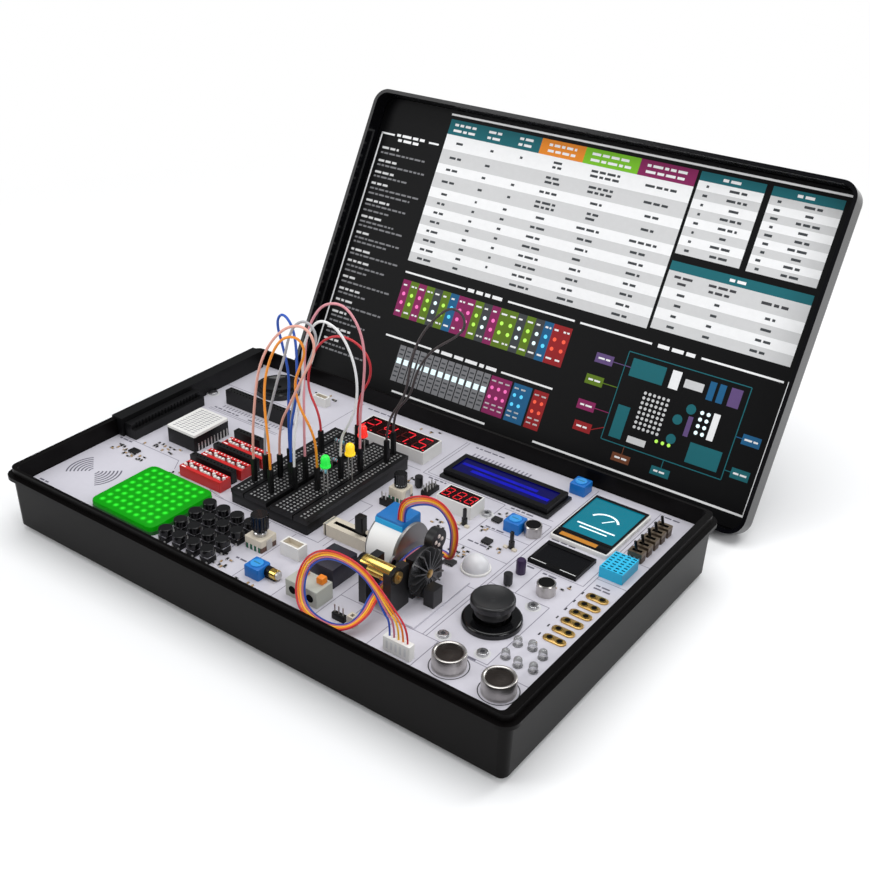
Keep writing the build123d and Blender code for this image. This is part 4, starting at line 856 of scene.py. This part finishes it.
# The geared stepper motor is a tinned can with a white paper label round it, a blue plastic cap
# over its wires, a steel face plate with two ears and a brass output shaft.
cap_blue = finish("cap_blue", (0.005, 0.14, 0.42), 0.35, tint=0.06)
# A lighter copy of the cap's blue, laid on its front face as a painted highlight where the light falls.
cap_lit_face = finish("cap_lit_face", (0.01, 0.36, 0.72), 0.35, tint=0.06)
paper = finish("paper", (0.82, 0.82, 0.80), 0.6, tint=0.02)
satin_tin = finish("satin_tin", (0.30, 0.30, 0.295), 0.42, metallic=0.95, tint=0.1, scale=300)
brass = finish("brass", (0.62, 0.40, 0.14), 0.3, metallic=1.0, tint=0.15)
axis = (0, -30.6, 40.75)
angle = np.linspace(0, math.pi, 9)
ear = np.c_[14 + 3.5 * np.sin(angle), -3.5 * np.cos(angle)]
plate = np.r_[ear, -ear] + axis[1:]
# Dark discs of painted shade stand for the two holes in the plate's ears.
piece("stepper_motor_shown", "stepper_motor", [
    turned([(13.2, 43), (14, 43.8), (14, 61.2), (13.7, 61.9), (12.4, 62)], axis, satin_tin, "x", 64),
    turned([(13.9, 44.3), (14.09, 44.35), (14.09, 60.35), (13.9, 60.4)], axis, paper, "x", 64),
    block((52.25, -29.1), (16.5, 15.6), 19.3, 30.95, cap_blue, 0.8, 1.2),
    # the cap's front face in the lighter blue: a painted highlight
    block((52.25, -36.85), (16.6, 0.5), 23.3, 29.6, cap_lit_face, 0.2, 0.2),
    turned([(4.5, 61.9), (4.5, 63.3), (4.2, 63.5)], (0, -30.6, 32.75), brass, "x"),
    (*skin([np.c_[np.full(len(plate), x), plate] for x in (61.0, 62.05)]), satin_tin),
    *[turned([(2.0, 61.8), (2.0, 62.08)], (0, axis[1] + side, axis[2]), pit_shade, "x", 20)
      for side in (-14.9, 14.9)],
])
painted(brass, "stepper_shaft")


# A black moulded bracket carries the small motor and the wheel's bearing. Its floor is white like the
# board it is screwed to, and its round head holds four pale lamps.
bracket_black = finish("bracket_black", (0.006, 0.006, 0.0065), 0.4, tint=0.25, grain=0.1)
tree = bracket_black.node_tree
floor_level = board_top + 1.25
height = add_node(tree, "SeparateXYZ", {0: tree.nodes["Texture Coordinate"].outputs["Object"]})
upright = add_node(tree, "Math", {0: height.outputs["Z"], 1: floor_level / 1000}, operation="GREATER_THAN")
two_tone = add_node(tree, "Mix", {
    "A": (*mask_white, 1), "B": tree.nodes["Mix"].outputs["Result"], "Factor": upright.outputs[0],
}, data_type="RGBA")
feed(tree, tree.nodes["Principled BSDF"], {"Base Color": two_tone.outputs["Result"]})
painted(bracket_black, "motor_bracket")
lamp_white = finish("lamp_white", (0.70, 0.60, 0.55), 0.3, tint=0.15)
piece("bracket_lamps", "motor_bracket", [
    turned([(1.1, 76.2), (1.1, 76.6), (0.7, 77.0)], (0, -28.6 + y, 51 + z), lamp_white, "x", 16)
    for y, z in ((-2.4, 0), (2.4, 0), (0, 2.4), (0, -2.4))], stands_in=False)


# The small direct-current motor is a gold-plated can between black end caps, with a brass ring at
# its shaft end.
gold = finish("gold", (0.80, 0.55, 0.14), 0.22, metallic=1.0, tint=0.08)
axis = (0, -61.4, 48.0)
piece("gold_motor_shown", "gold_motor", [
    turned([(4.3, 55), (4.5, 55.3), (4.5, 57.1), (4.3, 57.2)], axis, plain_black, "x"),
    turned([(4.3, 57.1), (4.45, 57.2), (4.45, 74.3), (4.3, 74.5)], axis, gold, "x"),
    turned([(4.3, 74.4), (4.5, 74.5), (4.5, 76.4), (4.3, 76.6)], axis, plain_black, "x"),
    turned([(3.0, 76.5), (3.0, 77.6), (1.0, 77.6), (1.0, 78.7), (0.8, 78.8)], axis, brass, "x"),
])


# The fan wheel is a moulded black disc with sixteen thin radial blades, held on its shaft by a
# brass hub.
painted(finish("fin_black", (0.035, 0.035, 0.037), 0.25, tint=0.3, specular=0.6), "fan_wheel")
piece("fan_hub", "fan_wheel", [
    turned([(2.2, 80.9), (2.2, 81.4), (1.3, 81.7), (0.9, 81.8)], (0, -41.8, 41), brass, "x", 24),
], stands_in=False)


# The character display is a black board soldered to the main one, with a black bezel clipped over
# it round a deep blue lit window.
lcd_blue = finish("lcd_blue", (0.001, 0.001, 0.060), 0.3, tint=0.6, grain=0.0, scale=60, specular=0.08,
                  glow=0.4)
lcd_light = finish("lcd_light", (0.002, 0.003, 0.28), 0.3, tint=0.5, grain=0.0, scale=90, specular=0.08,
                   glow=0.6)
bezel_black = finish("bezel_black", (0.0025, 0.0025, 0.003), 0.3, tint=0.3, grain=0.03, specular=0.12)
piece("lcd_display_shown", "lcd_display", [
    block((54.1, 65.4), (71.2, 25.6), 0, 1.6, chip_black, 0.5, 0.1),
    sunk((54.1, 65.4), (68, 22), (62, 15), 5, 0.6, 1.5, bezel_black, lcd_blue),
])
printed("lcd_glow", "lcd_display", on_board(4.43), [
    ([(24.5, 66.2, 74, 68.6), (33, 61.8, 83.5, 64.4)], lcd_light)])


# The colour screen shows a teal field with a plain gauge, over an amber ribbon. The smaller
# monochrome screen is dark glass with a pale line along its foot.
screen_teal = finish("screen_teal", (0.002, 0.13, 0.18), 0.25, tint=0.08, grain=0.0, scale=60,
                     specular=0.12, glow=0.35)
dark_glass = finish("dark_glass", (0.002, 0.002, 0.003), 0.08, tint=0.2, grain=0.0, specular=0.3)
piece("small_screens_shown", "small_screens", [
    block((116.1, 63.1), (34, 48.4), 0, 2.4, plain_white, 1.2, 0.2),
    block((116.1, 42.6), (32, 5.4), 2.3, 3, bezel_black, 0.6, 0.1),
    sunk((116.1, 66.0), (32, 41), (29.6, 36.4), 3, 0.4, 2.2, bezel_black, screen_teal),
    sunk((116, 23.5), (28, 20.6), (25.6, 14.6), 2.2, 0.3, 0, bezel_black, dark_glass),
])
gauge = arc((116, 64), 8.5, np.linspace(0.15 * math.pi, 0.85 * math.pi, 15))
printed("screen_ribbon", "small_screens", on_board(3.02), [
    ([(103.5, 41.0, 125, 44.2)], ink("amber", (0.48, 0.19, 0.02)))])
printed("screen_gauge", "small_screens", on_board(2.64), [
    (stroke(gauge, 1.3), glow_white), (stroke([(116, 64), (120.5, 69.5)], 0.8), glow_white),
    ([(105, 57, 127, 58.2), (108, 54, 124, 55)], glow_white)])
printed("screen_line", "small_screens", on_board(2.22), [
    ([(103, 14.3, 112, 14.8), (120, 14.3, 129, 14.8)], grey_ink)])


# Two digit displays in white cases: red seven-segment figures behind a dark window, one with four
# figures and one with three.
window_dark = finish("window_dark", (0.010, 0.002, 0.002), 0.2, tint=0.2, grain=0.0, specular=0.15)
lit_red = finish("lit_red", (0.66, 0.015, 0.025), 0.4, tint=0.03, grain=0.0, specular=0.1, glow=0.5)
unlit_red = finish("unlit_red", (0.060, 0.004, 0.004), 0.4, tint=0.03, grain=0.0, specular=0.1)
strokes_of = {2: "abged", 4: "fgbc", 7: "abc", 5: "afgcd", 8: "abcdefg"}
ends_of = {"a": (-1, 2, 1, 2), "b": (1, 2, 1, 0), "c": (1, 0, 1, -2), "d": (-1, -2, 1, -2),
           "e": (-1, 0, -1, -2), "f": (-1, 2, -1, 0), "g": (-1, 0, 1, 0)}
cases, lit, unlit = [], [], []
for x, y, length, wide, figures, unit in ((-21.8, 66.4, 50.8, 18.4, (2, 4, 7, 5), 3.2),
                                          (46.7, 33.0, 22.4, 13.3, (8, 8, 8), 2.0)):
    cases.append(sunk((x, y), (length, wide), (length - 1.4, wide - 1.4), 8, 0.3, 0,
                      plain_white, window_dark))
    for index, figure in enumerate(figures):
        centre = x + (index - (len(figures) - 1) / 2) * length / len(figures) - unit * 0.25
        for name, ends in ends_of.items():
            line = np.array(ends, float).reshape(2, 2) * unit
            line = line * [1, 0.95] + (line[::-1] - line) * 0.09
            line[:, 0] += line[:, 1] * 0.12
            (lit if name in strokes_of[figure] else unlit).append(stroke(line + [centre, y], unit * 0.28))
        lit.append(discs([(centre + unit * 1.55, y - unit * 1.95)], unit * 0.26, 4))
piece("digit_displays_shown", "digit_displays", cases)
printed("digit_figures", "digit_displays", on_board(7.73), [
    (np.concatenate(lit), lit_red), (np.concatenate(unlit), unlit_red)])


# The ultrasonic pair are drawn aluminium cans with a rolled lip over a dark woven mesh, soldered
# to the board.
can_silver = finish("can_silver", (0.50, 0.48, 0.46), 0.3, metallic=0.95, tint=0.12, scale=500)
mesh_dark = finish("mesh_dark", (0.022, 0.016, 0.013), 0.5, metallic=0.6, tint=0.7, grain=0.6, scale=2200)
lip = [(8.0, 0), (8.0, 7.5), (7.8, 8.0), (7.4, 8.2), (6.9, 8.15), (6.4, 7.8), (6.4, 6.9), (6.2, 6.9)]
woven = [(6.35, 6.95), (3.2, 7.0), (2.4, 7.3), (1.0, 7.5)]
piece("ultrasonic_cans_shown", "ultrasonic_cans", [
    turned(profile, at, material, around=around) for at in can_places
    for profile, material, around in ((lip, can_silver, 48), (woven, mesh_dark, 40))])


# The breadboard is black with five-hole rows either side of its middle channel and two-hole power
# rails outside. Spring contacts show light grey in the holes: partly their tinned metal, partly a painted
# glint.
contact_and_glint = finish("contact_and_glint", (0.42, 0.42, 0.42), 0.4, metallic=0.3, tint=0.9, scale=420)
bread_top = 8.5
row_lines = np.r_[-37.8, 5.6 + (np.arange(1, 33) - 16.5) * pitch, 49.0]
bread = [block((-27.6, 5.6), (54, 86.8), 0, bread_top - 2.4, plain_black, 0.8, 0.1)]
for left, right, lines in ((-44.7, -29.1, 4), (-26.1, -10.5, 4), (-54.6, -45.5, 1), (-9.7, -0.6, 1)):
    columns = np.r_[left, (left + right) / 2 + (np.arange(lines) - (lines - 1) / 2) * pitch, right]
    bread.append(pitted(columns, row_lines, 1.25, bread_top, 0.35, bread_top - 2.5, plain_black, contact_and_glint))
piece("breadboard_shown", "breadboard", bread)


# On the breadboard stand three lamps on long legs, three pale blue resistors and the black plug
# ends of the jumper wires.
def legs(x, y, away, high):
    """Two thin square legs, one at each side of a place, from the breadboard up to a height over it."""
    return [block((x + side * away, y), (0.5, 0.5), bread_top - 0.5, bread_top + high, tinned)
            for side in (-1, 1)]


dome = [(2.9, 16), (2.9, 17), (2.5, 17.05), (2.5, 20.6), (2.3, 21.6), (1.8, 22.4), (1.0, 22.9), (0.3, 23)]
stand = []
for x, y, name, colour in ((-11.5, -9.5, "green", (0.02, 0.70, 0.06)),
                           (-9.5, 8.5, "yellow", (0.95, 0.60, 0.02)),
                           (-17.0, 28.5, "red", (0.90, 0.03, 0.02))):
    lens = finish(f"lens_{name}", colour, 0.2, tint=0.1, grain=0.0, glow=0.45)
    stand += [turned(dome, (x, y, board_top + bread_top), lens, around=24), *legs(x, y, pitch / 2, 16.2)]
body_blue = finish("body_blue", (0.16, 0.42, 0.50), 0.4, tint=0.06)
band_inks = [finish("band_brown", (0.12, 0.04, 0.015), 0.4), finish("band_red", (0.5, 0.02, 0.02), 0.4)]
bone = [(0.5, -3.15), (1.1, -2.9), (1.2, -2.4), (0.95, -1.8)]
bone += [(radius, -along) for radius, along in bone[::-1]]
for x, y in ((-22.5, 0.5), (-23.5, 13.5), (-36.0, 31.0)):
    middle = (x, y, board_top + bread_top + 5)
    stand.append(turned(bone, middle, body_blue, "x", 20))
    for along, wide, material in zip((-2.4, -1.0, 0.3, 1.3), (1.22, 0.98, 0.98, 0.98), band_inks * 2):
        stand.append(turned([(wide, along - 0.25), (wide, along + 0.25)], middle, material, "x", 20))
    stand += legs(x, y, 3.4, 5.2)
for _, _, loop in jumpers.values():
    stand += [block(end[:2], (2.5, 2.5), bread_top, plug_top - board_top, plain_black, 0.25, 0.25)
              for end in (loop[0], loop[-1])]
piece("breadboard_parts_shown", "breadboard_parts", stand)


# The small sensors: a vented cyan humidity sensor, a dark relay, a grey terminal with orange
# levers, three blue trimmers, two microphones, a milky dome, slim posts, chips and a round buzzer.
# The humidity sensor's cyan carries a faint glow: painted light, as the sensor holds no lamp.
glowing_cyan = finish("glowing_cyan", (0.012, 0.42, 0.68), 0.4, tint=0.05, glow=0.06)
# A darker copy of the cyan: painted shade in the sensor's vents and in the trimmers' slots.
cyan_shade = finish("cyan_shade", (0.01, 0.17, 0.27), 0.5)
relay_dark = finish("relay_dark", (0.018, 0.016, 0.028), 0.35, tint=0.15)
pale_grey = finish("pale_grey", (0.42, 0.43, 0.38), 0.45, tint=0.05)
lever_orange = finish("lever_orange", (0.80, 0.22, 0.01), 0.4)
trim_blue = finish("trim_blue", (0.005, 0.14, 0.48), 0.35)
# A lighter copy of the trimmer blue for their tops: a painted highlight where the light falls.
trim_lit_top = finish("trim_lit_top", (0.03, 0.28, 0.68), 0.35)
milky = finish("milky", (0.80, 0.80, 0.82), 0.3, tint=0.02, grain=0.0, scale=200, through=0.15)
violet = finish("violet", (0.030, 0.014, 0.055), 0.3)
felt = finish("felt", (0.006, 0.006, 0.006), 0.9, tint=0.3, grain=0.5, scale=2500, specular=0.1)
# The humidity sensor's vent pits are painted shade.
sensors = [
    pitted(np.linspace(136.5, 149.5, 5), np.linspace(24.35, 41.25, 8), (2.0, 1.0), 6, 0.8, 0,
           glowing_cyan, cyan_shade),
    block((32.6, -55.6), (15.3, 19.2), 0, 11, relay_dark, 0.6, 0.5),
    block((34.5, -76.0), (20, 12), 0, 9.3, pale_grey, 0.5, 0.6)]
# The terminal's two wire entries are dark discs of painted shade.
for x in (29.6, 40.6):
    sensors += [block((x, -73.5), (4.0, 4.0), 9.2, 12.7, lever_orange, 0.5, 0.8),
                turned([(2.2, -82.04), (2.2, -81.9)], (x - 0.5, 0, board_top + 4.4), pit_shade, "y", 20)]
# Each trimmer's round top is a lighter blue, a painted highlight, and its slot is painted shade.
for x, y in ((2.7, -78.2), (81.0, 34.2), (89.0, 88.4)):
    sensors += [block((x, y), (9.5, 9.5), 0, 6.4, trim_blue, 0.7, 0.5),
                turned([(3.3, 6.3), (3.3, 6.9), (2.6, 7)], (x, y), trim_lit_top, around=24),
                block((x, y), (4.2, 0.8), 6.9, 7.02, cyan_shade, 0.1, 0.02)]
for x, y, wide, z in ((90.9, 36.0, 4.75, 6.2), (123.3, -3.8, 4.8, 6.5)):
    can = [(wide, 0), (wide, z - 0.5), (wide - 0.4, z), (wide - 0.9, z)]
    sensors += [turned(can, (x, y), can_silver),
                turned([(wide - 0.7, z - 0.1), (wide - 0.8, z + 0.05)], (x, y), felt)]
half_ball = [(7 * math.cos(a), 1.2 + 7 * math.sin(a)) for a in np.linspace(0, 1.5, 12)]
sensors += [turned([(7.8, 0), (7.8, 1.0), (7.6, 1.2)], (85, -8), plain_white, around=40),
            turned(half_ball, (85, -8), milky, around=40)]
for x, y in ((57.5, 21.5), (89.0, 18.5)):
    sensors += [turned([(1.6, 0), (1.6, 4), (1.1, 4.6), (1.1, 9.5), (0.7, 10)], (x, y), gloss_black,
                       around=20),
                *[block((x + side * 2.6, y - 1.5), (2.4, 2.0), 0, 1.0, cream, 0.2, 0.1) for side in (-1, 1)]]
sensors.append(turned([(2.5, 0), (2.5, 7.2), (2.1, 8)], (104.5, 3.0), violet, around=24))
tilt_can = [(1.6, 0), (1.6, 1), (2.3, 1.2), (2.3, 6.7), (2.0, 7)]
sensors += [turned(tilt_can, at, chip_black, around=24) for at in ((105.1, -9.6), (15.9, 37.0))]
for low, high, wide, material in ((3.7, 7.0, 2.7, gold), (6.9, 10.4, 2.8, plain_black),
                                  (10.3, 14.0, 2.7, gold), (13.9, 15.2, 2.2, tinned)):
    profile = [(wide - 0.2, low), (wide, low + 0.2), (wide, high - 0.2), (wide - 0.2, high)]
    sensors.append(turned(profile, (0, -76, board_top + 2.9), material, "x", 28))
sensors.append(block((9.6, -76), (7.9, 4), 0, 1.5, plain_black, 0.3, 0.2))
for x, y, length, wide, high in ((-136.4, -33.6, 6, 6, 1.0), (69.1, 35.1, 5, 5.5, 1.4),
                                 (76.2, 15.1, 5, 6, 1.4), (71.8, -12, 6.2, 6, 1.4)):
    sensors += [block((x, y), (length, wide - 1.2), 0, high, chip_black, 0.3, 0.15),
                *[block((x + step, y + side * (wide / 2 - 0.4)), (0.4, 0.8), 0, 0.5, tinned, 0.05, 0.05)
                  for step in np.arange(-length / 2 + 0.8, length / 2 - 0.4, pitch / 2) for side in (-1, 1)]]
rim = [(15, 0), (15, 3.3), (14.3, 4.0), (12.5, 4.0), (11.5, 3.2), (4, 2.6), (1.6, 2.4), (1.4, 1.5)]
sensors.append(turned(rim, (-124, 76), gloss_black, around=56))
clear = finish("clear", (0.86, 0.86, 0.88), 0.1, tint=0.02, grain=0.0, through=0.75)
bulb = [(2.4, 0), (2.4, 0.5), (2.1, 0.6), (2.1, 3.2), (1.8, 4.2), (1.1, 4.8), (0.3, 5.0)]
for at in ((134.0, -45.5), (141.0, -44.0), (148.0, -46.5), (134.5, -56.5), (142.0, -58.0), (149.5, -57.0)):
    sensors += [turned(bulb, at, clear, around=20), block(at, (0.9, 0.5), 0, 1.6, tinned)]
piece("sensor_parts_shown", "sensor_parts", sensors)


# Six touch pads: flat gold-coloured ovals on the board, each with two eyelets in raised rims,
# where a clip or a wire can be pushed through. The eyelets' holes are dark discs of painted shade.
pads = []
for y in pad_rows:
    pads.append(block((145.7, y), (12, 5), 0, 0.7, brass, 2.45, 0.2))
    for x in (143.05, 148.35):
        pads += [turned([(2.1, 0.6), (1.9, 0.95), (1.5, 0.95)], (x, y), gold, around=20),
                 turned([(1.55, 0.7), (1.4, 0.98)], (x, y), pit_shade, around=20)]
piece("touch_pads_shown", "touch_pads", pads)


# Plug-in sockets: two white wire sockets, a cream one, black pin headers with tall tinned pins, and
# the five-way white plug that ends the stepper's ribbon.
plugs = [sunk((x, y), (length, wide), (length - 2, wide - 2), high, 3.0, 0, body, cream)
         for x, y, length, wide, high, body in (
             (5.8, -55, 12.4, 6.7, 7.5, plain_white), (65.6, -81, 3.8, 4, 6, cream),
             (-90, 78, 10, 5, 6, plain_white))]
for x, y, length, wide, high in ((57.8, -81.5, 7.3, 2.5, 8), (13, 11.5, 7, 4, 8), (24, 36.5, 5, 11, 6)):
    plugs += [block((x, y), (length, wide), 0, high * 0.45, plain_black, 0.3, 0.2),
              *[block((x + across, y + along), (0.6, 0.6), 0, high, tinned, 0.1, 0.15)
                for across in np.arange(-length / 2 + 1.2, length / 2 - 1.0, pitch)
                for along in np.arange(-wide / 2 + 1.2, wide / 2 - 1.0, pitch)]]
plugs += [block((94.85, -84), (15.3, 4.2), 0, 8, plain_white, 0.5, 0.4),
          *[block((94.85 + step * pitch, -86.08), (1.3, 0.2), 2, 6.5, grey_ink, 0.05, 0.05)
            for step in range(-2, 3)]]
piece("board_connectors_shown", "board_connectors", plugs)
